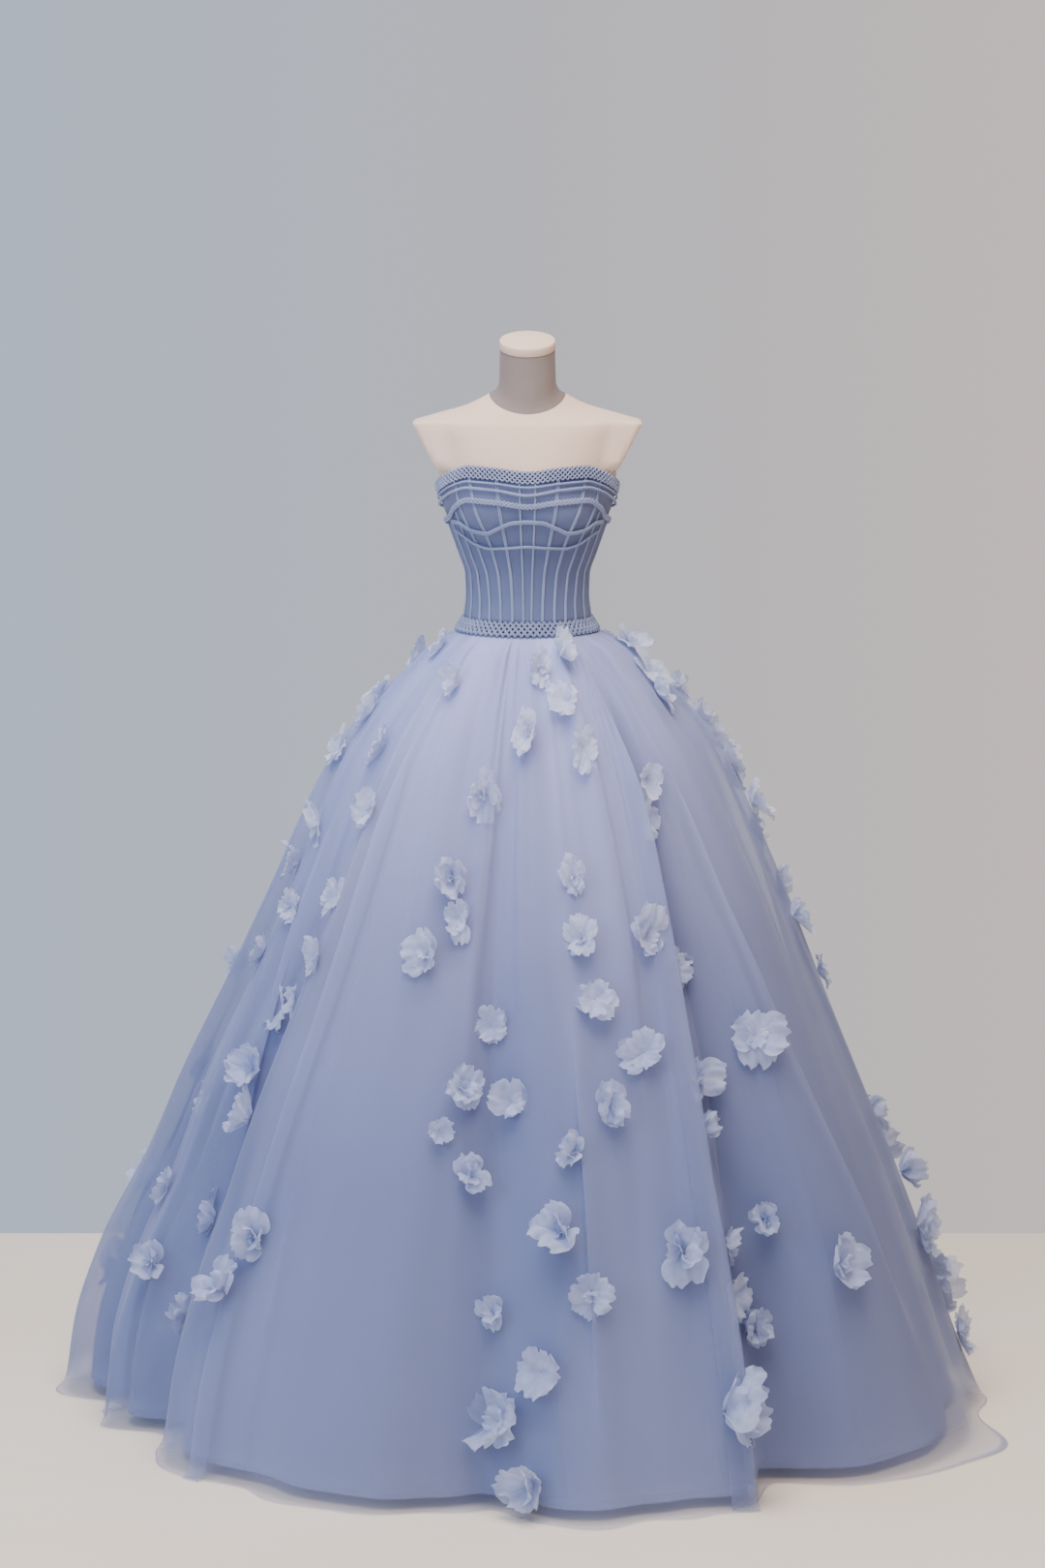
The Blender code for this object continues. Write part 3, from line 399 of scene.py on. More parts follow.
def tilted_ring(radius, rise):
    ring = round_ring(radius, rise)
    lean = math.radians(CAP_TILT)
    x, y, z = ring.T
    return np.stack([x, y * math.cos(lean) - z * math.sin(lean) + NECK_LEAN,
                     y * math.sin(lean) + z * math.cos(lean) + NECK_TOP_HEIGHT], -1)


form_foot = TORSO[0][0]
heights = np.concatenate([np.linspace(form_foot, 1.395, 50), np.linspace(1.398, SHOULDER_TIP, 28)])
torso_rings = [round_ring(0.0001, form_foot)] + [body(form_turns, h) for h in heights]
slope = []
for height, droop, hollow in SLOPE_RINGS:
    ring = body(form_turns, height)
    ring[:, 2] -= droop * front_share + hollow * np.sin(np.radians(form_turns)) ** 4
    slope.append(ring)
slope += [round_ring(NECK_BASE_RADIUS, NECK_BASE_HEIGHT, NECK_DROOP), round_ring(*UNDER_NECK)]
# the shoulder tips stay sharp, and the chest between them bends softly
tip_share = smooth(np.abs(np.sin(np.radians(form_turns))), *TIP_SINES)[:, None]
slope[0] = slope[0] * (1 - tip_share) + slope[1] * tip_share
for k in (1, 2, 3):
    torso_rings += [cubic(*slope[k - 1:k + 3], t) for t in np.linspace(1 / SLOPE_STEPS, 1, SLOPE_STEPS)]
neck_foot = round_ring(NECK_BASE_RADIUS - NECK_INSET, NECK_BASE_HEIGHT + NECK_GAP, NECK_DROOP)
neck_top = tilted_ring(NECK_RADIUS, 0)
inward = curve(*zip(*NECK_FLARE))
neck_rings = []
for up in np.linspace(0, 1, NECK_ROWS):
    ring = neck_foot + (neck_top - neck_foot) * float(inward(up))
    ring[:, 2] = neck_foot[:, 2] + (neck_top[:, 2] - neck_foot[:, 2]) * up
    neck_rings.append(ring)
cap_rings = [tilted_ring(*row) for row in CAP_RINGS]
for node, rings, material in (("form_torso", torso_rings, form_linen), ("form_neck", neck_rings, neck_linen_in_painted_shade),
                              ("form_neck_cap", cap_rings, form_linen)):
    skin = mesh_object(node + "_linen", rings, grid_faces(len(rings), FORM_COLUMNS, closed=True), material)
    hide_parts(node)
print("torso, neck and cap skins made")

# %% [markdown]
# The pole and the round base are painted steel, hidden under the skirt. The solid parts already
# have their whole shape, so they only get a material: a plain satin coat with the light scuffing of
# a shop stand.

# %% Painted steel
painted_steel, tree, shader, place = new_material("painted steel", 0.4)
SCUFFS = 25
shader.inputs["Metallic"].default_value = 0.6
scuffs = add(tree, "ShaderNodeTexNoise", {"Vector": place, "Scale": noise_scale(SCUFFS), "Detail": 6.0})
colour = ramp(tree, scuffs.outputs["Fac"], [(0.4, "9a9a9c"), (0.7, "b4b4b6")])
tree.links.new(colour, shader.inputs["Base Color"])
for name in ("form_pole", "form_base"):
    nodes[name].material_slots[0].material = painted_steel
print("pole and base painted")

# %% [markdown]
# The bodice panels are a base cloth under fine net. The net's holes are about 1 mm, which reads as
# a grey periwinkle bloom from a step away. Real holes would need millions of faces, so one sheet
# has the colour of both cloths and a woven bump. Over the cups and just above the belt the sum of
# the layers has other shades. Behind the belt and under the neckline braid, where the net shows
# between the strands, it is painted dark as shade. A row of colours by height gives both.

# %% Bodice net
NET_HOLES, NET_CLOUDS = 0.982, 45.5
# columns: share of the way from the belt's foot to the neckline, colour; the darkest rows, behind the
# belt and under the neckline braid, are painted shade
NET_TONES_AND_PAINTED_SHADE = [(0.0, "474f70"), (0.08, "4d5577"), (0.10, "6f7ba2"), (0.30, "69749a"), (0.52, "656f95"),
              (0.70, "697398"), (0.82, "777fa3"), (0.89, "7780a4"), (0.93, "525a80")]
bodice_net, tree, shader, place = new_material("bodice net over base cloth", 0.75, 0.3)
height = add(tree, "ShaderNodeSeparateXYZ", {"Vector": place}).outputs["Z"]
level = add(tree, "ShaderNodeMapRange", {"Value": height, "From Min": 1.17, "From Max": 1.42})
# colours by height, with painted shade behind the belt and under the neckline braid
shade = ramp(tree, level.outputs["Result"], NET_TONES_AND_PAINTED_SHADE)
cloud = add(tree, "ShaderNodeTexNoise", {"Vector": place, "Scale": noise_scale(NET_CLOUDS), "Detail": 3.0})
tint = ramp(tree, cloud.outputs["Fac"], [(0.3, (0.90, 0.90, 0.92)), (0.7, (1, 1, 1))])
mixed = add(tree, "ShaderNodeMix", {0: 1.0, 6: shade, 7: tint}, data_type="RGBA", blend_type="MULTIPLY")
tree.links.new(mixed.outputs[2], shader.inputs["Base Color"])
tree.links.new(woven_bump(tree, place, NET_HOLES, 0.5, 0.0004), shader.inputs["Normal"])
print("bodice net with holes of", NET_HOLES, "mm")

# %% [markdown]
# The cords and braids are a matt yarn, a tone lighter than the net under them, and the neckline
# braid is a shade lighter again. Their strands are real meshes, so the material only adds its
# fibre, drawn at 1 mm because real fibre is too fine to show, and a slow change of tone along it.

# %% Yarn
FIBRE, TONE_PATCHES = 1.11, 71.4


def yarn_material(name, dark, light):
    material, tree, shader, place = new_material(name, 0.7, 0.4)
    fibre = add(tree, "ShaderNodeTexNoise", {"Vector": place, "Scale": noise_scale(FIBRE), "Detail": 2.0})
    tone = add(tree, "ShaderNodeTexNoise", {"Vector": place, "Scale": noise_scale(TONE_PATCHES)})
    bump = add(tree, "ShaderNodeBump", {"Height": fibre.outputs["Fac"], "Strength": 0.5, "Distance": 0.0004})
    colour = ramp(tree, tone.outputs["Fac"], [(0.3, dark), (0.7, light)])
    tree.links.new(colour, shader.inputs["Base Color"])
    tree.links.new(bump.outputs[0], shader.inputs["Normal"])
    return material


braid_yarn = yarn_material("matt braid yarn", "8591b4", "949fc0")
neckline_yarn = yarn_material("matt neckline yarn", "949ebf", "a5aecc")
print("two yarns")

# %% [markdown]
# Each bodice panel is a curved sheet stretched over the form and cut off under the neckline braid.
# A cloth simulation would only press it flat on the form, so the panels follow the solid ones'
# outside, with faint drag lines between the bones, as stretched net has.

# %% Bodice panels
PANEL_LIFT = 0.0024
PANEL_GRID = (61, 31)
# how high the drag lines are, and how fast they follow one another up the panel and round it
DRAG_LIFT, DRAG_UP, DRAG_SLANT, DRAG_ROUND = 0.0004, 160, 0.05, 9
# columns: name, first and last angle, cut width, cut length
PANELS = [
    ("bodice_front", -22.5, 22.5, 0.080, 0.255),
    ("bodice_side_front_right", 22.5, 60.0, 0.085, 0.258),
    ("bodice_side_right", 60.0, 112.5, 0.095, 0.245),
    ("bodice_back_right", 112.5, 180.0, 0.105, 0.222),
    ("bodice_back_left", 180.0, 247.5, 0.105, 0.222),
    ("bodice_side_left", 247.5, 300.0, 0.095, 0.245),
    ("bodice_side_front_left", 300.0, 337.5, 0.085, 0.258),
]
for name, first, last, cut_width, cut_length in PANELS:
    angles = np.linspace(first, last, PANEL_GRID[1])
    ups = np.linspace(0, 1, PANEL_GRID[0])[:, None]
    heights = BODICE_FOOT + (top_edge(angles) - PANEL_TOP_DROP - BODICE_FOOT) * ups
    drag = DRAG_LIFT * np.sin(heights * DRAG_UP + DRAG_SLANT * angles)
    drag = drag * np.sin(np.radians(angles * DRAG_ROUND))
    grid = body(angles, heights, PANEL_LIFT + drag)
    panel = mesh_object(name + "_net", grid, grid_faces(*PANEL_GRID), bodice_net)
    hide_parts(name)
print(len(PANELS), "bodice panels")

# %% [markdown]
# The boning channels are narrow tubes of cloth sewn over the bones. They fan out from the waist to
# the bust. Four on each side run on to the neckline braid and the others stop at the bust braid.
# They could be ridges in the net, but in the photo they are paler than it and stand clear of it, so
# each is a roll in the yarn's colour.

# %% Boning channels
# columns: angle at the waist, at the underbust cord, at the top, width, runs to the neckline
BONES = [
    (3.6, 4.6, 5.0, 0.0026, True), (13.3, 16.6, 19.5, 0.0042, True), (24.5, 29.5, 39.0, 0.0042, True),
    (36.0, 42.5, 53.0, 0.0036, True), (48.0, 54.0, 56.0, 0.0036, False), (63.0, 66.0, 68.0, 0.0036, False),
    (80.0, 82.0, 84.0, 0.0036, False), (98.0, 98.0, 99.0, 0.0036, False),
    (116.0, 115.0, 114.0, 0.0036, False), (134.0, 132.0, 131.0, 0.0036, False),
    (152.0, 150.0, 149.0, 0.0036, False), (169.0, 168.0, 167.0, 0.0036, False),
]
BONE_FOOT, BONE_UNDERBUST, BONE_TOP = 1.190, 1.300, 1.400
BONE_LIFT, BONE_HIGH, BONE_ROWS, BONE_SIDES = 0.0036, 0.0022, 70, 8
# how far below the neckline's edge, or below the middle of the bust braid, a bone stops
NECKLINE_STOP, BUST_STOP = 0.018, 0.003
WIDE_BONE, ROLL_SHARE, BUST_RADIUS = 0.003, 1.08, 0.1
for number, (waist, underbust, top, width, long) in enumerate(BONES, start=1):
    fan = curve([BONE_FOOT, BONE_UNDERBUST, BONE_TOP], [waist, underbust, top])
    for side, side_name in ((-1, "left"), (1, "right")):
        head = top_edge(top) - NECKLINE_STOP if long else bust_braid_line(top) - BUST_STOP
        heights = np.linspace(BONE_FOOT, float(head), BONE_ROWS)
        # a wide channel is two narrow rolls side by side, as its stitched edges make it
        offsets = (-width / 4, width / 4) if width > WIDE_BONE else (0.0,)
        strands = []
        for offset in offsets:
            angles = fan(heights) * side + np.degrees(offset / BUST_RADIUS)
            outward = body(angles, heights, 0.01) - body(angles, heights)
            strands.append((body(angles, heights, BONE_LIFT), outward))
        roll = width / len(offsets) * ROLL_SHARE
        bone = cord_object(f"bone_{number:02d}_{side_name}_channel", strands, roll, BONE_HIGH, braid_yarn,
                           closed=False, sides=BONE_SIDES)
        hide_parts(f"bone_{number:02d}_{side_name}")
print(2 * len(BONES), "boning channels")

# %% [markdown]
# The braids are flat plaits of round yarn. Each strand zigzags from edge to edge and passes over
# and under the ones that it meets. Twisted cords are two or three strands wound round each other. A
# bump could fake both, but their edges and holes show against the net, so each strand is swept
# along its own path.

# %% Cords and braids
STRAND_LIFT, OUTWARD_PROBE = 0.004, 0.01
# how far a strand rises over another, where a plait's strands lie, and how far apart doubled yarns lie
OVER_SHARE, SEAT_SHARE, DOUBLED_SPREAD = 0.42, 0.75, 1.25
TWIST_SHARE = 0.52


def even_angles(track, first, last, step, closed=True):
    """Angles along a line round the body at even steps of length."""
    fine = np.linspace(first, last, 1441)
    points = body(fine, track(fine), STRAND_LIFT)
    run = np.concatenate([[0], np.cumsum(np.linalg.norm(np.diff(points, axis=0), axis=1))])
    count = int(round(run[-1] / step))
    marks = np.linspace(0, run[-1], count + 1)
    marks = marks[:-1] if closed else marks
    return np.interp(marks, run, fine), marks, run[-1]


def strand_on_body(angles, heights, lifts):
    """A strand's path over the form and the outward direction along it."""
    path = body(angles, heights, lifts)
    return path, body(angles, heights, lifts + OUTWARD_PROBE) - path


def braid(name, track, width, lift, count, pitch, yarn_wide, yarn_high, span=None, doubled=False,
          step=0.0012):
    """A flat open plait with count strands, each crossing the band and back over a length of count x pitch.
    lift is a length, or a function of the height."""
    closed = span is None
    first, last = (0, 360) if closed else span
    angles, marks, length = even_angles(track, first, last, step, closed)
    period = count * pitch
    turns = round(length / period) if closed else length / period
    strands = []
    for k in range(count):
        phase = (marks / length * turns + k / count) % 1.0
        reach = (width - yarn_wide * (2 if doubled else 1)) / 2
        across = (1 - np.abs(4 * phase - 2)) * reach
        heading = np.clip(np.sin(2 * np.pi * phase) / math.sin(math.pi / count), -1, 1)
        over = np.cos(2 * np.pi * count * phase) * heading * yarn_high * OVER_SHARE
        for side in ((-0.5, 0.5) if doubled else (0,)):
            # the two yarns of a doubled strand lie one over the other along its slope
            heights = track(angles) + across + side * yarn_wide * DOUBLED_SPREAD
            base = lift(heights) if callable(lift) else lift
            strands.append(strand_on_body(angles, heights, base + yarn_high * SEAT_SHARE + over))
    return cord_object(name, strands, yarn_wide, yarn_high, braid_yarn, closed=closed)


def twist(name, track, width, count, pitch, span=None, step=0.0009):
    """A round cord of strands wound round each other."""
    closed = span is None
    first, last = (0, 360) if closed else span
    angles, marks, length = even_angles(track, first, last, step, closed)
    turns = round(length / pitch) if closed else length / pitch
    yarn = width * TWIST_SHARE
    strands = []
    for k in range(count):
        turn = 2 * np.pi * (marks / length * turns + k / count)
        reach = (width - yarn) / 2
        strands.append(strand_on_body(angles, track(angles) + reach * np.cos(turn),
                                      CORD_LIFT + width / 2 + reach * np.sin(turn)))
    return cord_object(name, strands, yarn, yarn, braid_yarn, closed=closed)


NECKLINE_WIDTH, BELT_HEIGHT, BELT_FOOT = 0.0195, 0.0220, 1.1700
CORD_LIFT = 0.0048
BAND_LIFT, BELT_SPREAD, BELT_SPREAD_SHARE = 0.0030, 0.0075, 0.9


def neckline_middle(angle):
    return top_edge(angle) - NECKLINE_WIDTH / 2


def belt_middle(angle):
    return 0 * angle + BELT_FOOT + BELT_HEIGHT / 2


def belt_lift(height):
    """The belt's foot lies out over the gathered top of the skirt."""
    spread_top = BELT_FOOT + BELT_HEIGHT * BELT_SPREAD_SHARE
    return BAND_LIFT + BELT_SPREAD * (1 - smooth(height, BELT_FOOT, spread_top))


# columns: solid part, name, line, width, lift, strands, length from crossing to crossing, yarn's width and
# height, first and last angle if it isn't closed, whether its yarns are doubled
PLAITS = [
    ("neckline_braid", "neckline_plait", neckline_middle, NECKLINE_WIDTH, BAND_LIFT, 5, 0.0074,
     0.0023, 0.0029),
    ("waist_braid", "waist_plait", belt_middle, BELT_HEIGHT, belt_lift, 4, 0.0084,
     0.0019, 0.0028, None, True),
    ("bust_braid", "bust_plait", bust_braid_line, 0.0096, CORD_LIFT, 3, 0.0062, 0.0027, 0.0026),
    ("underbust_braid", "underbust_plait", underbust_braid_line, 0.0074, CORD_LIFT, 3, 0.0054,
     0.0024, 0.0025, (-64, 64)),
]
# columns: solid part, name, line, width, strands, length of one turn, first and last angle if it isn't
# closed
TWISTS = [
    ("cord_twisted", "twisted_cord", twisted_cord_line, 0.0046, 2, 0.0095),
    ("cord_smooth", "smooth_cord", smooth_cord_line, 0.0032, 3, 0.020),
    ("underbust_cord", "underbust_twisted_cord", underbust_cord_line, 0.0046, 2, 0.0095, (-62, 62)),
]
trims = [(node, braid(*row)) for node, *row in PLAITS] + [(node, twist(*row)) for node, *row in TWISTS]
trims[0][1].data.materials[0] = neckline_yarn
for node, piece in trims:
    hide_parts(node)
print(len(trims), "cords and braids")

# %% [markdown]
# The skirt hangs in 43 fold lines, ridges and valleys in turn, each with its angle at the waist,
# its angle at the hem and how far out it reaches there. The deep pair left and right of the front
# panel are the overlapping edges that the photo shows. A cloth simulation gives folds too, but not
# the ones in the photo, so they are placed.

# %% The skirt's form
# columns: height, outside radius on the left, right, front and back
SKIRT_LEVELS = [
    (1.1697, 0.1040, 0.1040, 0.0965, 0.0872), (1.150, 0.137, 0.146, 0.126, 0.122),
    (1.115, 0.174, 0.182, 0.158, 0.160), (1.070, 0.217, 0.222, 0.192, 0.200),
    (1.000, 0.274, 0.275, 0.236, 0.252), (0.900, 0.330, 0.324, 0.288, 0.310),
    (0.780, 0.386, 0.376, 0.344, 0.368), (0.650, 0.449, 0.428, 0.404, 0.432),
    (0.510, 0.520, 0.487, 0.466, 0.500), (0.370, 0.580, 0.545, 0.526, 0.566),
    (0.230, 0.650, 0.596, 0.578, 0.630), (0.100, 0.690, 0.640, 0.618, 0.676),
    (0.000, 0.700, 0.680, 0.640, 0.705),
]
# columns: angle at the waist, angle at the hem, radius at the hem
FOLD_LINES = [
    (-180, -180, 0.668), (-168, -168, 0.724), (-157, -157, 0.672), (-146, -146, 0.716), (-136, -136, 0.694),
    (-126, -126, 0.642), (-115, -114, 0.716), (-106, -104, 0.664), (-97, -94, 0.703), (-91, -88, 0.692),
    (-87, -83, 0.612), (-82, -78, 0.640), (-76, -73, 0.652), (-68, -67.5, 0.575), (-60, -62.5, 0.562),
    (-51, -56, 0.634), (-46, -50, 0.638), (-39, -41, 0.622), (-31, -32, 0.638), (-21, -21, 0.634),
    (-14, -12.5, 0.602), (-9, -6, 0.578), (-3, -0.5, 0.616), (5, 6.5, 0.656), (13, 13.5, 0.646),
    (21, 20, 0.642), (30, 26, 0.652), (35, 30, 0.642), (40, 35, 0.578), (44, 40, 0.604), (50, 47, 0.660),
    (57, 57, 0.695), (65, 67, 0.700), (74, 78, 0.676), (83, 88, 0.690), (92, 96, 0.634), (103, 104.5, 0.700),
    (114, 114, 0.656), (125, 125, 0.712), (136, 136, 0.684), (147, 147, 0.650), (158, 158, 0.722),
    (169, 169, 0.702),
]
FOLD_GROWTH, FOLD_TURN_END = 0.95, 0.625
SKIRT_TOP = SKIRT_LEVELS[0][0]
full_turn = len(FOLD_LINES)
levels, *radii = zip(*SKIRT_LEVELS)
left_at, right_at, skirt_front_at, skirt_back_at = (curve(levels, column) for column in radii)


def skirt_radius(angle, height):
    """The skirt's plain radius, before its folds."""
    sine, cosine = np.sin(np.radians(angle)), np.cos(np.radians(angle))
    side = np.where(sine < 0, left_at(height), right_at(height))
    facing = np.where(cosine > 0, skirt_front_at(height), skirt_back_at(height))
    return side * sine ** 2 + facing * cosine ** 2


def between_folds(position, column):
    """Smooth curve through the fold table, which runs on past a full turn."""
    index = np.floor(position).astype(int)
    t = position - index
    values = np.array([row[column] for row in FOLD_LINES], float)

    def at(k):
        place = index + k
        return values[place % full_turn] + (360.0 * (place // full_turn) if column < 2 else 0.0)

    return cubic(at(-1), at(0), at(1), at(2), t)


def fold_angle(position, height):
    """A fold line turns from its angle at the waist to the one at the hem."""
    fallen = (SKIRT_TOP - height) / SKIRT_TOP
    waist, hem = between_folds(position, 0), between_folds(position, 1)
    return waist + (hem - waist) * np.minimum(1.0, fallen / FOLD_TURN_END)


print(full_turn, "fold lines")

# %% [markdown]
# Over the main folds lie gathers that fan out from the waist seam and soft long creases. Sine waves
# are right for the gathers, which are even, but creases are not, so each is placed one by one: where
# it runs, where it starts and ends, how deep it is and how wide. A crease with a lean is steep on
# one side. Where one part of the skirt laps over the next, the cloth doubles back under a sharp
# edge.

# %% Gathers, creases and laps
# columns: place along the fold table, share of the fall where it starts and ends, height in mm, width in
# fold lines, lean
CREASES = [
    (13.5, 0.00, 0.50, 8, 0.40, 1), (14.2, 0.25, 1.00, -6, 0.40, 0), (15.7, 0.00, 0.35, 7, 0.35, -1),
    (16.3, 0.10, 0.85, -7, 0.45, 0), (16.9, 0.45, 1.00, 6, 0.40, 1), (18.1, 0.00, 0.42, 9, 0.45, -1),
    (18.9, 0.03, 0.50, -8, 0.55, 0), (19.7, 0.30, 1.00, 6, 0.70, 0), (20.3, 0.00, 0.38, 7, 0.35, 1),
    (21.1, 0.15, 0.70, -6, 0.45, 0), (21.7, 0.45, 1.00, -16, 0.70, 0), (22.2, 0.00, 0.45, 8, 0.40, -1),
    (24.6, 0.02, 0.75, -6, 0.40, 0), (25.1, 0.00, 0.45, 9, 0.35, 1), (25.9, 0.35, 1.00, -6, 0.50, 0),
    (26.4, 0.05, 0.90, 8, 0.45, -1), (28.6, 0.02, 1.00, -15, 0.55, 0), (29.4, 0.00, 0.40, 7, 0.35, 1),
    (29.9, 0.30, 1.00, 9, 0.45, -1), (30.6, 0.02, 0.60, -6, 0.40, 0), (32.2, 0.00, 0.80, -8, 0.45, 0),
    (32.9, 0.20, 1.00, 7, 0.55, 1), (34.0, 0.00, 0.50, 8, 0.40, -1), (34.8, 0.30, 1.00, -7, 0.50, 0),
    (35.6, 0.05, 0.65, 7, 0.40, 1), (37.3, 0.00, 0.45, -6, 0.45, 0), (38.4, 0.25, 1.00, 8, 0.50, 1),
    (39.3, 0.02, 0.55, -7, 0.40, 0), (41.3, 0.00, 0.70, 8, 0.45, -1), (42.3, 0.35, 1.00, -7, 0.55, 0),
    (0.5, 0.05, 0.55, 7, 0.40, 0), (1.6, 0.25, 1.00, -7, 0.50, 0), (2.5, 0.00, 0.42, 8, 0.40, 1),
    (4.6, 0.03, 0.75, 7, 0.45, -1), (5.6, 0.30, 1.00, -6, 0.50, 0), (7.5, 0.00, 0.50, 8, 0.40, 1),
    (8.6, 0.20, 1.00, -7, 0.45, 0), (9.5, 0.05, 0.60, 6, 0.40, 0), (11.6, 0.10, 1.00, -8, 0.45, 0),
    (12.6, 0.00, 0.70, 7, 0.40, -1),
]
# columns: place at the waist, how far it drifts by the hem, side that it laps to, degrees that it laps,
# height in mm, share of the fall at start and end
LAPS = [
    (10.5, 0.0, -1, 1.6, 6, 0.35, 1.3), (12.2, 2.0, -1, 2.6, 12, 0.18, 1.3),
    (16.3, 0.0, -1, 3.5, 15, 0.03, 1.3), (17.05, 0.0, -1, 1.7, 8, 0.02, 0.90),
    (23.35, 0.0, -1, 1.6, 11, 0.36, 1.02), (27.3, -0.9, 1, 2.6, 13, 0.02, 1.3),
    (29.8, 2.0, 1, 2.4, 11, 0.02, 0.95), (36.4, 0.0, 1, 2.0, 9, 0.10, 1.3),
    (40.4, 0.0, -1, 2.2, 10, 0.20, 1.3), (3.5, 0.0, 1, 2.2, 10, 0.15, 1.3),
    (6.6, 0.0, -1, 1.8, 8, 0.30, 1.3),
]
LAP_AWAY, LAP_WIDTH, UNDER_SHARE = 0.22, 0.30, 0.45
LAP_START_FADE, LAP_END_FADE = 0.2, 0.3
GATHERS_PER_FOLD, GATHER_HEIGHT, GATHER_FALL = 1.45, 0.0020, 0.07
FOLDLETS_PER_FOLD, FOLDLET_HEIGHT, FOLDLET_FALL = 0.85, 0.0062, 0.28
CREASE_WANDER, CREASE_START_FADE, CREASE_END_FADE = 0.30, 0.12, 0.15
# a leaning crease's widths on its steep and on its soft side, as shares of its own
STEEP_SHARE, SOFT_SHARE = 0.40, 1.6


def away_from(position, place):
    """How many fold lines lie between two places, the short way round."""
    return (position - place + full_turn / 2) % full_turn - full_turn / 2


def drape(position, fallen):
    """How far gathers and creases move the tulle out at a place and share of the fall."""
    sway = position + 0.30 * np.sin(1.9 * position) + 0.11 * np.sin(5.3 * position)
    uneven = 0.55 + 0.45 * np.sin(2.7 * position + 1.0) * np.sin(1.1 * position)
    gathers = np.sin(2 * np.pi * GATHERS_PER_FOLD * sway) * uneven * np.exp(-fallen / GATHER_FALL)
    foldlets = np.sin(2 * np.pi * FOLDLETS_PER_FOLD * sway + 0.7) * (0.6 + 0.4 * np.sin(1.3 * position))
    foldlets = foldlets * np.exp(-fallen / FOLDLET_FALL)
    out = smooth(fallen, 0.0, 0.012) * (GATHER_HEIGHT * gathers + FOLDLET_HEIGHT * foldlets)
    for place, start, end, height, width, lean in CREASES:
        scaled = (away_from(position, place) - CREASE_WANDER * np.sin(5.0 * fallen + place)) / width
        if lean:
            scaled = scaled / np.where(lean * scaled > 0, STEEP_SHARE, SOFT_SHARE)
        bell = np.exp(-scaled ** 2)
        fade = smooth(fallen, start, start + CREASE_START_FADE)
        fade = fade * (1 - smooth(fallen, end - CREASE_END_FADE, end + CREASE_END_FADE))
        out = out + (1.3 - 0.4 * fallen) * height / 1000 * bell * fade
    return out


def laps(position, fallen):
    """How far each overlap shifts the cloth sideways in degrees, and outward."""
    turn, out = 0 * position, 0 * position
    for place, drift, side, degrees, height, start, end in LAPS:
        away = side * away_from(position, place + drift * fallen)
        over = np.exp(-((away + LAP_AWAY) / LAP_WIDTH) ** 2)
        under = np.exp(-((away - LAP_AWAY) / LAP_WIDTH) ** 2)
        fade = smooth(fallen, start, start + LAP_START_FADE)
        fade = fade * (1 - smooth(fallen, end - LAP_END_FADE, end))
        turn = turn + side * degrees * fade * (over - under)
        out = out + height / 1000 * fade * (over - UNDER_SHARE * under)
    return turn, out


def skirt_surface(position, height, lift=0.0, detail=1.0):
    """Points on the skirt: place along the fold table, height, and lift outward."""
    position, height, lift = np.broadcast_arrays(np.asarray(position, float), height, lift)
    fallen = (SKIRT_TOP - height) / SKIRT_TOP
    hem = between_folds(position, 1)
    angle = fold_angle(position, height)
    fold = between_folds(position, 2) - skirt_radius(hem, 0.0)
    radius = skirt_radius(angle, height) + fold * np.clip(fallen, 0, 1) ** FOLD_GROWTH
    shift, lap = laps(position, fallen)
    radius = radius + lift + detail * (drape(position, fallen) + lap)
    turn = np.radians(angle + detail * shift)
    return np.stack([radius * np.sin(turn), -radius * np.cos(turn), height], -1)


print(len(CREASES), "creases and", len(LAPS), "laps")

# %% [markdown]
# Tulle is a very fine net, so a layer of it is partly clear face on and thickens where it is seen at
# a slant. Its real holes can't be built for a whole skirt, so the material's alpha follows the slant
# instead. The layers under it are pinker, and the sum of them gives the skirt its lavender bloom.
# Towards the waist the colour is lighter, partly for those layers and partly as painted light from
# above. A row of shades round the skirt paints shade into its valleys, behind the laps and on the
# sides away from the lamps, and a little painted light on the front right of the middle, with some
# darkening where layers lie together. The net's real holes of 0.5 mm are drawn at 0.75 mm.

# %% Tulle
# columns: angle from the front, and the share of light kept there in red, green and blue: painted
# shade in the valleys, behind the laps and on the sides away from the lamps, painted light right of the
# middle, and some darkening where layers lie together
PAINTED_SHADE_AND_LAYERS = [
    (-180, 0.84, 0.86, 0.90), (-105, 0.80, 0.84, 0.92), (-75, 0.83, 0.87, 0.94), (-66, 0.90, 0.93, 0.98),
    (-62, 0.82, 0.86, 0.93), (-54, 0.80, 0.83, 0.90), (-51, 1.03, 1.04, 1.04), (-42, 1.03, 1.03, 1.03),
    (-36, 0.99, 1.0, 1.0), (-10, 0.95, 0.95, 0.96), (-2, 0.89, 0.91, 0.94), (4, 0.89, 0.91, 0.94),
    (9.5, 1.06, 1.07, 1.07), (19, 1.07, 1.08, 1.08), (24, 1.0, 1.0, 1.0), (30.5, 0.93, 0.93, 0.94),
    (33, 0.86, 0.88, 0.91), (44, 0.84, 0.85, 0.88), (56, 0.91, 0.92, 0.94), (61, 0.80, 0.80, 0.84),
    (90, 0.78, 0.79, 0.84), (115, 0.84, 0.85, 0.88), (180, 0.84, 0.86, 0.90),
]
TULLE_HOLES, TULLE_CLOUDS, CLOUD_SHARE = 0.748, 250, 0.16
# shares of the skirt's height at which the tulle has its four colours; they grow lighter towards the
# waist, partly from the pinker layers under it and partly as painted light from above
TULLE_LEVELS = (0.08, 0.45, 0.70, 1.0)
# the heights between which the outer layer hangs alone, and how dense it is from the very edge up
EDGE_HEIGHTS = (0.002, 0.036)
EDGE_SHARES = [(0.0, 1.0), (0.02, 0.95), (0.05, 0.40), (0.45, 0.55), (1.0, 1.0)]


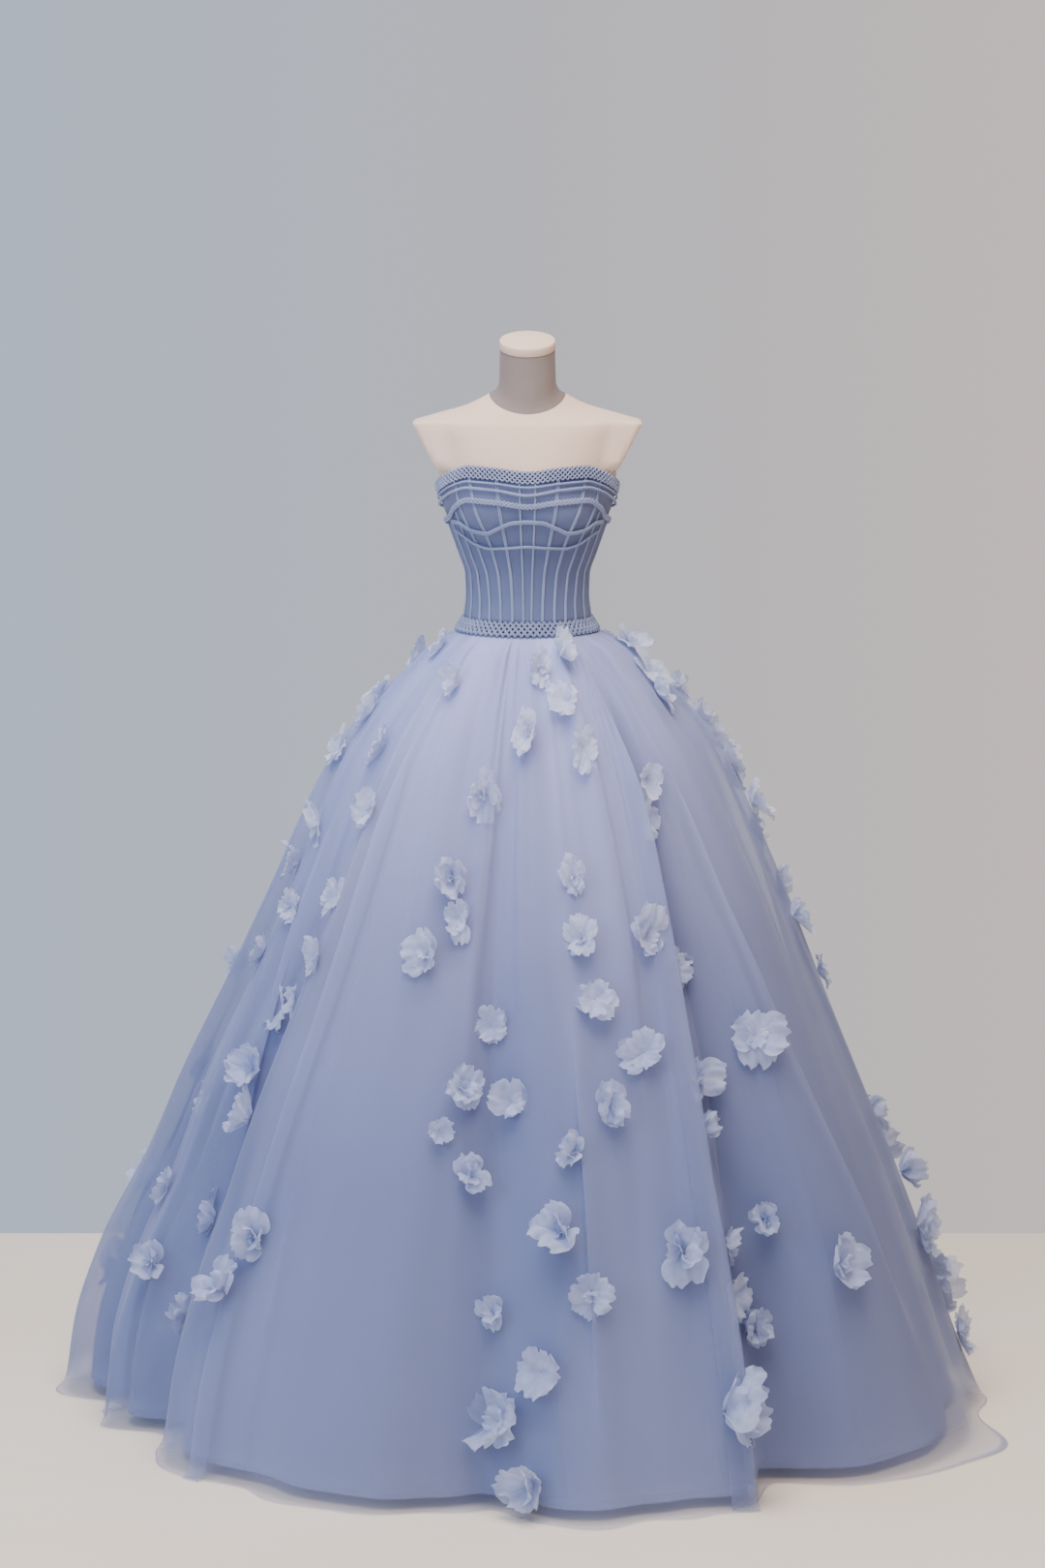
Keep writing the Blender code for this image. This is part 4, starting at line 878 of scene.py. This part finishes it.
def tulle(name, shades, least, most, clear_hem):
    """shades are its colours from hem to waist, lighter at the top partly as painted light from above; least
    and most, how dense it is face on and aslant.
    """
    material, tree, shader, place = new_material(name, 0.9, 0.2)
    split = add(tree, "ShaderNodeSeparateXYZ", {"Vector": place})
    height = split.outputs["Z"]
    level = add(tree, "ShaderNodeMapRange", {"Value": height, "From Min": 0.0, "From Max": 1.17})
    cloud = add(tree, "ShaderNodeTexNoise", {"Vector": place, "Scale": noise_scale(TULLE_CLOUDS),
                                             "Detail": 3.0})
    blend = add(tree, "ShaderNodeMath",
                {0: cloud.outputs["Fac"], 1: CLOUD_SHARE, 2: level.outputs["Result"]},
                operation="MULTIPLY_ADD").outputs[0]
    colour = ramp(tree, blend, list(zip(TULLE_LEVELS, shades)))
    # painted shade round the skirt: darker in the valleys, under the laps and on the sides away from the
    # lamps, lighter right of the middle, with some darkening where layers lie together
    front = add(tree, "ShaderNodeMath", {0: split.outputs["Y"], 1: -1.0}, operation="MULTIPLY").outputs[0]
    turn = add(tree, "ShaderNodeMath", {0: split.outputs["X"], 1: front}, operation="ARCTAN2").outputs[0]
    around = add(tree, "ShaderNodeMapRange", {"Value": turn, "From Min": -math.pi, "From Max": math.pi})
    painted_shade_round = ramp(tree, around.outputs["Result"],
                  [((angle + 180) / 360, tone) for angle, *tone in PAINTED_SHADE_AND_LAYERS])
    deep = add(tree, "ShaderNodeMix", {0: 1.0, 6: colour, 7: painted_shade_round},
               data_type="RGBA", blend_type="MULTIPLY")
    tree.links.new(deep.outputs[2], shader.inputs["Base Color"])
    facing = add(tree, "ShaderNodeLayerWeight", {"Blend": 0.35}).outputs["Facing"]
    dense = add(tree, "ShaderNodeMapRange",
                {"Value": facing, "To Min": least, "To Max": most}).outputs["Result"]
    if clear_hem:
        # the last 3 cm hang alone and are nearly clear, with a rolled thread at the very edge
        lowest, highest = EDGE_HEIGHTS
        low = add(tree, "ShaderNodeMapRange", {"Value": height, "From Min": lowest, "From Max": highest})
        share = ramp(tree, low.outputs["Result"], [(at, (part, part, part)) for at, part in EDGE_SHARES])
        dense = add(tree, "ShaderNodeMath", {0: dense, 1: share}, operation="MULTIPLY").outputs[0]
    tree.links.new(dense, shader.inputs["Alpha"])
    tree.links.new(woven_bump(tree, place, TULLE_HOLES, 0.3, 0.0003), shader.inputs["Normal"])
    return material


# both layers' colours lighten towards the waist, partly as painted light from above
outer_tulle = tulle("outer tulle", ("8e99c4", "8994c0", "99a2cc", "b9c3ee"), 0.46, 0.84, True)
inner_tulle = tulle("inner tulle", ("8e97c0", "878fba", "9ba0c9", "c4c3ee"), 0.86, 1.0, False)

# %% [markdown]
# The lining is satin, woven so close that its threads don't show and its surface shines softly. It
# only tints what is seen through two layers of tulle, so a plain material with slow changes of tone
# is enough.

# %% Satin
SATIN_THREADS, SATIN_CLOUDS = 0.349, 143
satin, tree, shader, place = new_material("satin lining", 0.45, 0.1)
soft = add(tree, "ShaderNodeTexNoise", {"Vector": place, "Scale": noise_scale(SATIN_CLOUDS), "Detail": 2.0})
colour = ramp(tree, soft.outputs["Fac"], [(0.3, "9c9cbc"), (0.7, "aaa9c6")])
tree.links.new(colour, shader.inputs["Base Color"])
tree.links.new(woven_bump(tree, place, SATIN_THREADS, 0.15, 0.0002), shader.inputs["Normal"])
print("tulle and lining ready")

# %% [markdown]
# The skirt is cut in five gores of tulle, joined in the deep folds and at the centre back and
# gathered to the waist. A skirt in one piece would look the same, but a maker needs the gores, and
# so does the table of sheets. Each is one thin sheet, with its seams in the valleys so that they
# don't show.

# %% Skirt gores
# columns: name, first and last fold line, cut width at the waist before gathering and at the hem, cut length
GORES = [
    ("skirt_back_left", 0, 7, 0.40, 1.02, 1.32),
    ("skirt_side_left", 7, 13, 0.20, 0.62, 1.32),
    ("skirt_front", 13, 28, 0.58, 1.32, 1.31),
    ("skirt_side_right", 28, 35, 0.33, 0.90, 1.31),
    ("skirt_back_right", 35, 43, 0.41, 1.14, 1.32),
]
COLUMNS_PER_FOLD, SKIRT_ROWS, ROW_CROWDING = 20, 112, 1.2
FLARE_START = 0.050
falls = np.linspace(0, 1, SKIRT_ROWS) ** ROW_CROWDING
# the last rows crowd towards the floor, where the edge turns outward
edge_rows = [0.040, 0.031, 0.023, 0.017, 0.012, 0.0085, 0.0062, 0.0048, 0.0038, 0.0030, 0.0024, 0.0020]
row_heights = np.concatenate([SKIRT_TOP - (SKIRT_TOP - FLARE_START) * falls, edge_rows])
TUCK_HEIGHT, TUCK_LIFT = 1.1740, 0.0040
TRAIN_REACH, TRAIN_ANGLE, TRAIN_HALF_ANGLE = 0.062, 66, 8.0
# how far out the edge lies and ripples, and over what height, first on the floor and then just above it
LYING_OUT, LYING_RIPPLE, LYING_HEIGHT = 0.009, 0.007, 0.006
RISING_OUT, RISING_RIPPLE, RISING_HEIGHT = 0.003, 0.004, 0.025


def hem_flare(position, height):
    """The tulle's edge turns out on the floor in soft ripples, most at the slight train on the right."""
    angle = (fold_angle(position, height) + 180) % 360 - 180
    ripple = np.sin(1.7 * position) * np.sin(0.9 * position) + 0.5 * np.sin(4.3 * position + 1.0)
    train = TRAIN_REACH * np.exp(-((angle - TRAIN_ANGLE) / TRAIN_HALF_ANGLE) ** 2)
    lying = (LYING_OUT + LYING_RIPPLE * ripple + train) * np.exp(-height / LYING_HEIGHT)
    return lying + (RISING_OUT + RISING_RIPPLE * ripple) * np.exp(-height / RISING_HEIGHT)


tulle_gores = {}
for name, first, last, top_cut, hem_cut, cut_length in GORES:
    positions = np.linspace(first, last, (last - first) * COLUMNS_PER_FOLD + 1)
    place, height = np.meshgrid(positions, row_heights)
    grid = skirt_surface(place, height, hem_flare(place, height))
    # one more row tucks the gathered edge in under the belt
    tuck = body(fold_angle(positions, SKIRT_TOP), TUCK_HEIGHT, TUCK_LIFT)
    grid = np.concatenate([tuck[None], grid])
    gore = mesh_object(name + "_tulle", grid, grid_faces(*grid.shape[:2]), outer_tulle)
    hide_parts(name)
    tulle_gores[name] = (gore, top_cut, hem_cut, cut_length)
print(len(tulle_gores), "gores of outer tulle")

# %% [markdown]
# A second tulle layer hangs some 20 mm inside the first and follows its folds, and the satin
# underskirt hangs inside both. The real dress may have more layers, but past the second they only
# add depth of colour, which the inner layer's denser material gives. Both end a little above the
# floor, so that the edge of the hem is clear.

# %% Inner tulle and underskirt
# how far inside the outer layer it hangs, at its very top, further down, and at the sides besides
INNER_SEAT, INNER_DROP, INNER_SIDE_DROP = 0.0012, 0.017, 0.018
INNER_TOP_GAP, INNER_HEM = 0.002, 0.016
INNER_COLUMNS_PER_FOLD, INNER_ROWS = 8, 90
INNER_RIPPLE, INNER_RIPPLES_PER_FOLD = 0.002, 0.9
inner_positions = np.linspace(0, full_turn, full_turn * INNER_COLUMNS_PER_FOLD, endpoint=False)
inner_heights = np.linspace(SKIRT_TOP - INNER_TOP_GAP, INNER_HEM, INNER_ROWS)
place, height = np.meshgrid(inner_positions, inner_heights)
inner_fall = (SKIRT_TOP - height) / SKIRT_TOP
inner_lift = -INNER_DROP * smooth(inner_fall, 0.0, 0.12) - INNER_SEAT
# at the sides the outer layer stands further off, which shows as a clearer band along the outline
sideways = np.sin(np.radians(fold_angle(place, height))) ** 2
inner_lift -= INNER_SIDE_DROP * sideways * smooth(inner_fall, 0.03, 0.3)
inner_lift += INNER_RIPPLE * np.sin(2 * np.pi * place * INNER_RIPPLES_PER_FOLD) * inner_fall
grid = skirt_surface(place, height, inner_lift)
inner_layer = mesh_object("skirt_inner_tulle", grid, grid_faces(*place.shape, closed=True), inner_tulle)

# columns: height, radius at the sides, front and back
UNDERSKIRT_LEVELS = [
    (1.1687, 0.0975, 0.0900, 0.0800), (1.155, 0.1050, 0.0970, 0.0890), (1.100, 0.150, 0.134, 0.130),
    (1.000, 0.226, 0.196, 0.205), (0.800, 0.325, 0.285, 0.310), (0.450, 0.445, 0.415, 0.450),
    (0.020, 0.545, 0.525, 0.560),
]
UNDER_TOP, UNDER_HEM, UNDER_GRID = 1.1680, 0.020, (70, 61)
UNDER_RIPPLE, UNDER_RIPPLES, UNDER_DROP = 0.007, 11, 0.004
levels, *radii = zip(*UNDERSKIRT_LEVELS)
under_side, under_front, under_back = (curve(levels, column) for column in radii)
for number, name in enumerate(("front_right", "back_right", "back_left", "front_left")):
    turns = np.radians(np.linspace(90 * number, 90 * number + 90, UNDER_GRID[1]))
    turn, height = np.meshgrid(turns, np.linspace(UNDER_TOP, UNDER_HEM, UNDER_GRID[0]))
    facing = np.where(np.cos(turn) > 0, under_front(height), under_back(height))
    radius = under_side(height) * np.sin(turn) ** 2 + facing * np.cos(turn) ** 2
    fallen = (SKIRT_TOP - height) / SKIRT_TOP
    ripple = np.sin(UNDER_RIPPLES * turn + 0.8 * np.sin(3 * turn))
    radius = radius + UNDER_RIPPLE * fallen * ripple - UNDER_DROP * smooth(fallen, 0, 0.1)
    grid = np.stack([radius * np.sin(turn), -radius * np.cos(turn), height], -1)
    lining = mesh_object(f"underskirt_{name}_satin", grid, grid_faces(*turn.shape), satin)
    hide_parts(f"underskirt_{name}")
print("inner tulle and four lining panels")

# %% [markdown]
# The flowers are cut from stiffened organza, a sheer crisp cloth of very fine thread. It lets light
# through from behind, which glass or plain alpha alone don't show, so a little of a translucent
# shader is mixed in. Where it is crushed its folds catch the light. Its threads are drawn at 0.63
# mm, coarser than they are.

# %% Organza
VEINS, CRINKLES, ORGANZA_THREADS = 16.7, 7.7, 0.628
LEAST_DENSE, GLOW_SHARE = 0.64, 0.20
organza, tree, shader, place = new_material("flower organza", 0.40, 0.4)
veins = add(tree, "ShaderNodeTexNoise", {"Vector": place, "Scale": noise_scale(VEINS), "Detail": 3.0})
petal_colour = ramp(tree, veins.outputs["Fac"], [(0.3, "c8d2f0"), (0.7, "eef2ff")])
# painted shade: the flowers low on the skirt are made darker and bluer, as if in the skirt's shade
height = add(tree, "ShaderNodeSeparateXYZ", {"Vector": place}).outputs["Z"]
shade = ramp(tree, height, [(0.10, (0.64, 0.69, 0.81)), (0.60, (0.74, 0.78, 0.90)), (0.95, (1, 1, 1))])
petal_colour_in_painted_shade = add(tree, "ShaderNodeMix", {0: 1.0, 6: petal_colour, 7: shade},
             data_type="RGBA", blend_type="MULTIPLY")
tree.links.new(petal_colour_in_painted_shade.outputs[2], shader.inputs["Base Color"])
crinkle = add(tree, "ShaderNodeTexNoise", {"Vector": place, "Scale": noise_scale(CRINKLES), "Detail": 2.0})
crushed = add(tree, "ShaderNodeBump", {"Height": crinkle.outputs["Fac"], "Strength": 0.8, "Distance": 0.003})
weave = woven_bump(tree, place, ORGANZA_THREADS, 0.2, 0.0003, also=crushed.outputs["Normal"])
tree.links.new(weave, shader.inputs["Normal"])
facing = add(tree, "ShaderNodeLayerWeight", {"Blend": 0.4}).outputs["Facing"]
dense = add(tree, "ShaderNodeMapRange", {"Value": facing, "To Min": LEAST_DENSE, "To Max": 1.0})
tree.links.new(dense.outputs["Result"], shader.inputs["Alpha"])
glow = add(tree, "ShaderNodeBsdfTranslucent", {"Color": rgb("d8e0fa")}).outputs[0]
both = add(tree, "ShaderNodeMixShader", {0: GLOW_SHARE, 1: shader.outputs[0], 2: glow}).outputs[0]
tree.links.new(both, tree.nodes["Material Output"].inputs["Surface"])
print("organza ready")

# %% [markdown]
# The flowers hang in trails down the skirt and grow larger towards the hem. Scattering them by
# chance would give an even sprinkle, so each one that the photo shows has its own angle, height and
# width. The back doesn't show, so its trails are laid out by a rule in the same manner.

# %% Where the flowers are
# each flower: angle from the front, height in mm, width in mm
FLOWER_TRAILS = {
    "left_edge": [(-92, 1072, 46), (-84, 1046, 44), (-88, 990, 50), (-75, 893, 52), (-80, 832, 50),
                  (-73, 770, 44), (-77, 700, 46), (-82, 472, 52), (-76, 350, 56), (-71, 250, 60)],
    "left_lobe": [(-69, 1150, 46), (-60, 1008, 50), (-51, 928, 46), (-55, 804, 48), (-52, 726, 50),
                  (-64, 627, 50), (-58, 652, 42), (-68, 541, 66), (-57, 487, 66), (-63, 325, 60),
                  (-49, 340, 64), (-62, 190, 52), (-46, 263, 66)],
    "front_left": [(-36, 1105, 50), (-15, 960, 52), (-20.5, 846, 60), (-16.5, 785, 50), (-23, 744, 58),
                   (-8, 647, 46), (-12.5, 567, 60), (-16, 513, 44), (-10, 448, 56), (-3, 546, 56)],
    "front_middle": [(20, 1150, 50), (7, 1128, 44), (16.5, 1085, 52), (1, 1044, 48), (20, 1024, 46),
                     (12, 850, 48), (12.5, 768, 48), (14, 687, 54), (14.5, 547, 54), (6.5, 490, 48),
                     (5, 385, 70), (8.5, 304, 56), (-5, 264, 50), (2, 200, 84), (-4, 122, 80), (1, 48, 74)],
    "right_fold": [(42, 975, 50), (38, 917, 48), (28, 771, 74), (38, 710, 56), (23, 613, 58), (48, 617, 70),
                   (37, 557, 62), (33.5, 500, 40), (24, 348, 66), (42, 362, 50), (33.8, 338, 54),
                   (33.2, 268, 58), (38, 217, 60), (29.0, 133, 106), (50, 299, 68)],
    "right_edge": [(83, 1148, 46), (76, 1111, 50), (70, 1085, 48), (92, 1030, 56), (88, 973, 50),
                   (84, 913, 52), (89, 790, 60), (82, 745, 52), (95, 1072, 54),
                   (90, 1004, 50), (94, 946, 52), (91, 868, 48), (87, 655, 44), (91, 433, 56), (88, 347, 62),
                   (90, 197, 66), (87, 104, 58), (84, 272, 80), (92, 128, 72)],
}
# columns: angle at the waist, angle at the hem, first height, last height in mm, how many
BACK_TRAILS = [
    (-112, -110, 1120, 140, 7), (-133, -138, 1060, 230, 6), (-155, -150, 1130, 100, 7),
    (-174, -172, 1000, 330, 5), (172, 168, 1120, 160, 7), (150, 156, 1060, 90, 6), (128, 130, 1130, 250, 6),
    (109, 108, 980, 120, 5),
]
BACK_SMALL, BACK_LARGE, BACK_SWAY, BACK_SWAY_STEP = 46, 72, 4.5, 2.4

flowers = [flower for trail in FLOWER_TRAILS.values() for flower in trail]
for waist, hem, first, last, count in BACK_TRAILS:
    for k in range(count):
        part = k / (count - 1)
        sway = BACK_SWAY * math.sin(BACK_SWAY_STEP * k + waist)
        width = BACK_SMALL + (BACK_LARGE - BACK_SMALL) * part
        flowers.append((waist + (hem - waist) * part + sway, first + (last - first) * part, width))
print(len(flowers), "flowers")

# %% [markdown]
# A flower is four or five scalloped petals in a ring, mostly with a ring of three small ones
# inside. Each petal is a small grid, bent by a few waves into a notch, scallops, pleats and a
# folded side. One flower copied many times would give itself away, so chance turns, lifts and curls
# each petal, from a fixed seed so that they stay the same.

# %% One flower
PETAL_ALONG, PETAL_ACROSS = 9, 17
FULL_CIRCLE = 6.28
OUTER_PETALS, OUTER_SHARE, OUTER_LIFT = [4, 5, 5, 5], 1.18, 0.34
# how often there is an inner ring, how many petals it has, how long, how steep and how far out they are
INNER_CHANCE, INNER_PETALS, INNER_SHARE, INNER_LIFT, INNER_RISE = 0.6, 3, 0.55, 0.85, 0.06
PETAL_WIDE, STEEPEST = 0.66, 1.5
petal_faces = grid_faces(PETAL_ALONG, PETAL_ACROSS)


def petal(chance, size, lift, curl):
    """One petal's points: x runs out from the flower's middle, y across, z up; lift is its slope."""
    u, v = np.meshgrid(np.linspace(0.02, 1, PETAL_ALONG), np.linspace(-1, 1, PETAL_ACROSS), indexing="ij")
    shift, ripple = chance.uniform(0, FULL_CIRCLE, 2)
    notch = 0.13 * np.exp(-((v - 0.15 * math.sin(shift)) / 0.20) ** 2)
    scallop = 0.050 * np.cos(9 * v + shift) + 0.045 * np.sin(17 * v + ripple)
    reach = size * (1 - 0.22 * np.abs(v) ** 2.6 - (notch - scallop) * u ** 3)
    wide = size * PETAL_WIDE * np.sin(np.pi * (0.06 + 0.62 * u)) ** 0.75
    x, y = reach * u, wide * v
    z = size * (0.16 * v ** 2 * u - curl * u ** 3 + 0.07 * u ** 2 * np.sin(3.1 * v + ripple))
    z = z + size * (0.055 * u ** 2 * np.sin(7.5 * v + shift) + 0.05 * np.sin(4.5 * u + shift) * u)
    # fine pleats run out from the stitch, and one side of the petal is bent over along one of them
    bent_side = np.maximum(0, v * math.cos(ripple) - 0.35)
    z = z + size * u * (0.032 * np.sin(13 * v + 2 * ripple) + 0.16 * bent_side)
    return np.stack([x * math.cos(lift) - z * math.sin(lift), y, x * math.sin(lift) + z * math.cos(lift)],
                    -1).reshape(-1, 3)


def flower(chance, width, folded, standing):
    """All points and faces of one flower; folded shuts it like wings, standing raises its upper petals."""
    points, faces = [], []
    half = width / 2
    rings = [(int(chance.choice(OUTER_PETALS)), half * OUTER_SHARE, OUTER_LIFT, 0.0)]
    if chance.uniform() < INNER_CHANCE:
        rings.append((INNER_PETALS, half * INNER_SHARE, INNER_LIFT, INNER_RISE))
    for count, size, lift, raised in rings:
        begin = chance.uniform(0, FULL_CIRCLE)
        for k in range(count):
            turn = begin + 2 * math.pi * k / count + chance.uniform(-0.20, 0.20)
            slope = lift * chance.uniform(0.4, 1.6)
            slope += folded * abs(math.cos(turn)) + standing * max(0, math.sin(turn))
            own = petal(chance, size * chance.uniform(0.72, 1.22), min(slope, STEEPEST),
                        chance.uniform(-0.12, 0.34))
            x = own[:, 0] * math.cos(turn) - own[:, 1] * math.sin(turn)
            y = own[:, 0] * math.sin(turn) + own[:, 1] * math.cos(turn)
            start = sum(len(p) for p in points)
            points.append(np.stack([x, y, own[:, 2] + half * raised], -1))
            faces += [tuple(start + i for i in face) for face in petal_faces]
    return np.concatenate(points), faces


print(len(petal_faces), "faces a petal")

# %% [markdown]
# Each flower is sewn to the tulle at its middle only, so it stands off the skirt, and many have
# folded up like wings. They could be instances, but the flowers of one gore belong to that gore's
# sheet, so they are one mesh. The skirt's plain slope is measured beside each flower, because the
# small creases would turn it too far.

# %% Sewing the flowers on
FIRST_SEED = 1000
SIDE_PROBE, HEIGHT_PROBE = 0.25, 0.012
STEEP_FROM, STEEP_TO = 0.55, 1.05
STAND_OFF, DEEPEST, FLOOR_GAP = 0.0025, -0.002, 0.002


def skirt_place(angle, height):
    """The place along the fold table where the skirt has this angle at this height."""
    places = np.linspace(-1, full_turn + 1, 4501)
    angles = fold_angle(places, np.full_like(places, height))
    return float(np.interp(angle, np.maximum.accumulate(angles), places))


trail_points = {name: [] for name in tulle_gores}
trail_faces = {name: [] for name in tulle_gores}
for seed, (angle, height_mm, width_mm) in enumerate(flowers, start=FIRST_SEED):
    chance = np.random.default_rng(seed)
    height, width = height_mm / 1000, width_mm / 1000
    place = skirt_place(angle, height) % full_turn
    middle = skirt_surface(place, height)
    left, right = (skirt_surface(place + step, height, detail=0) for step in (-SIDE_PROBE, SIDE_PROBE))
    below, above = (skirt_surface(place, height + step, detail=0) for step in (-HEIGHT_PROBE, HEIGHT_PROBE))
    side, drop = right - left, above - below
    side /= np.linalg.norm(side)
    out = np.cross(side, drop)
    out /= np.linalg.norm(out)
    up = np.cross(out, side)
    # near the waist the skirt slopes most, so the petals stand up from it and the flower looks long
    steep = smooth(height, STEEP_FROM, STEEP_TO)
    folded = chance.choice([0.0, 0.25, 0.9]) * (1 - steep) + chance.uniform(0.0, 0.5) * steep
    points, faces = flower(chance, width * (1 + 0.10 * folded), folded, 0.15 + 0.40 * float(steep))
    points = points * (1 - chance.uniform(0.20, 0.48) * steep, 1 + chance.uniform(0.15, 0.40) * steep, 1)
    tilt, swing = chance.uniform(-0.30, 0.30), chance.uniform(-0.45, 0.45)
    x, y, z = points.T
    y, z = y * math.cos(tilt) - z * math.sin(tilt), y * math.sin(tilt) + z * math.cos(tilt)
    x, z = x * math.cos(swing) - z * math.sin(swing), x * math.sin(swing) + z * math.cos(swing)
    z = np.maximum(z, DEEPEST) + STAND_OFF
    placed = middle + np.outer(x, side) + np.outer(y, up) + np.outer(z, out)
    placed[:, 2] = np.maximum(placed[:, 2], FLOOR_GAP)
    gore = next(row[0] for row in GORES if row[1] <= place < row[2])
    start = sum(len(p) for p in trail_points[gore])
    trail_points[gore].append(placed)
    trail_faces[gore] += [tuple(start + i for i in face) for face in faces]
for name, (gore, top_cut, hem_cut, cut_length) in tulle_gores.items():
    trail = mesh_object(name + "_flowers", np.concatenate(trail_points[name]), trail_faces[name], organza)
print("flowers sewn on")

# %% [markdown]
# The dress stands on a pale stone floor that ends behind it. The floor could be a wide plane, but
# its far edge is where the photo's floor ends. Cool light comes from the left and a little warmer
# light from the right, which tints the two sides of the skirt, and most of it falls from above. The
# background is a row of sky colours.

# %% Floor and light
STONE_CLOUDS = 455
FLOOR_WIDTH, FLOOR_DEPTH, FLOOR_BACK_EDGE = 7.0, 5.0, 0.94
stone, tree, shader, place = new_material("pale stone floor", 0.45)
veil = add(tree, "ShaderNodeTexNoise", {"Vector": place, "Scale": noise_scale(STONE_CLOUDS), "Detail": 7.0,
                                        "Distortion": 1.2})
colour = ramp(tree, veil.outputs["Fac"], [(0.35, "fbebd3"), (0.65, "fff6e4")])
tree.links.new(colour, shader.inputs["Base Color"])
bpy.ops.mesh.primitive_plane_add(size=1)
floor = bpy.context.object
floor.name = "floor"
floor.scale = (FLOOR_WIDTH, FLOOR_DEPTH, 1)
floor.location = (0, FLOOR_BACK_EDGE - FLOOR_DEPTH / 2, 0)
floor.data.materials.append(stone)


def lamp(name, place, aim_height, size, power, colour):
    """A rectangular lamp at a place, turned to a height on the dress's middle line."""
    data = bpy.data.lights.new(name, "AREA")
    data.shape = "RECTANGLE"
    data.size, data.size_y = size
    data.energy = power
    data.color = rgb(colour)[:3]
    light = bpy.data.objects.new(name, data)
    light.location = place
    x, y, z = np.array((0, 0, aim_height)) - np.array(place)
    light.rotation_euler = (math.atan2(math.hypot(x, y), -z), 0, math.atan2(y, x) - math.pi / 2)
    bpy.context.scene.collection.objects.link(light)


# columns: name, place, height that it is turned to, size, power in watts, colour
LAMPS = [
    ("window", (-3.4, -3.9, 2.8), 0.8, (3.0, 3.0), 130, "d3e2ff"),
    ("room", (3.6, -3.6, 2.6), 0.8, (3.0, 2.5), 16, "ffe2cc"),
    ("ceiling", (-0.1, -1.3, 4.4), 0.6, (2.6, 2.4), 215, "fff4ec"),
]
for row in LAMPS:
    lamp(*row)

# columns: share of the way from the left to the right, colour
SKY = [(0.0, "7f91b8"), (0.25, "93a5c8"), (0.43, "b8c8de"), (0.5, "c6c6ce"), (0.57, "ddd0cb"),
       (0.75, "86858c"), (1.0, "595a64")]
SKY_STRENGTH = 1.1
world = bpy.data.worlds.new("room")
bpy.context.scene.world = world
world.use_nodes = True
tree = world.node_tree
direction = add(tree, "ShaderNodeTexCoord").outputs["Generated"]
across = add(tree, "ShaderNodeSeparateXYZ", {"Vector": direction}).outputs["X"]
place = add(tree, "ShaderNodeMapRange",
            {"Value": across, "From Min": -1.0, "From Max": 1.0}).outputs["Result"]
back = tree.nodes["Background"]
tree.links.new(ramp(tree, place, SKY), back.inputs["Color"])
back.inputs["Strength"].default_value = SKY_STRENGTH
print(len(LAMPS), "lamps")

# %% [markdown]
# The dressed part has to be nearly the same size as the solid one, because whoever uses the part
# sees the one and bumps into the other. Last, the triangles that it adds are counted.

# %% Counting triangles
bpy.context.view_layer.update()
triangles = {o.name: sum(len(p.vertices) - 2 for p in o.data.polygons) for o in bpy.data.objects
             if o.type == "MESH" and "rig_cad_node" not in o}
print(sum(triangles.values()), "triangles added, most in", max(triangles, key=triangles.get))
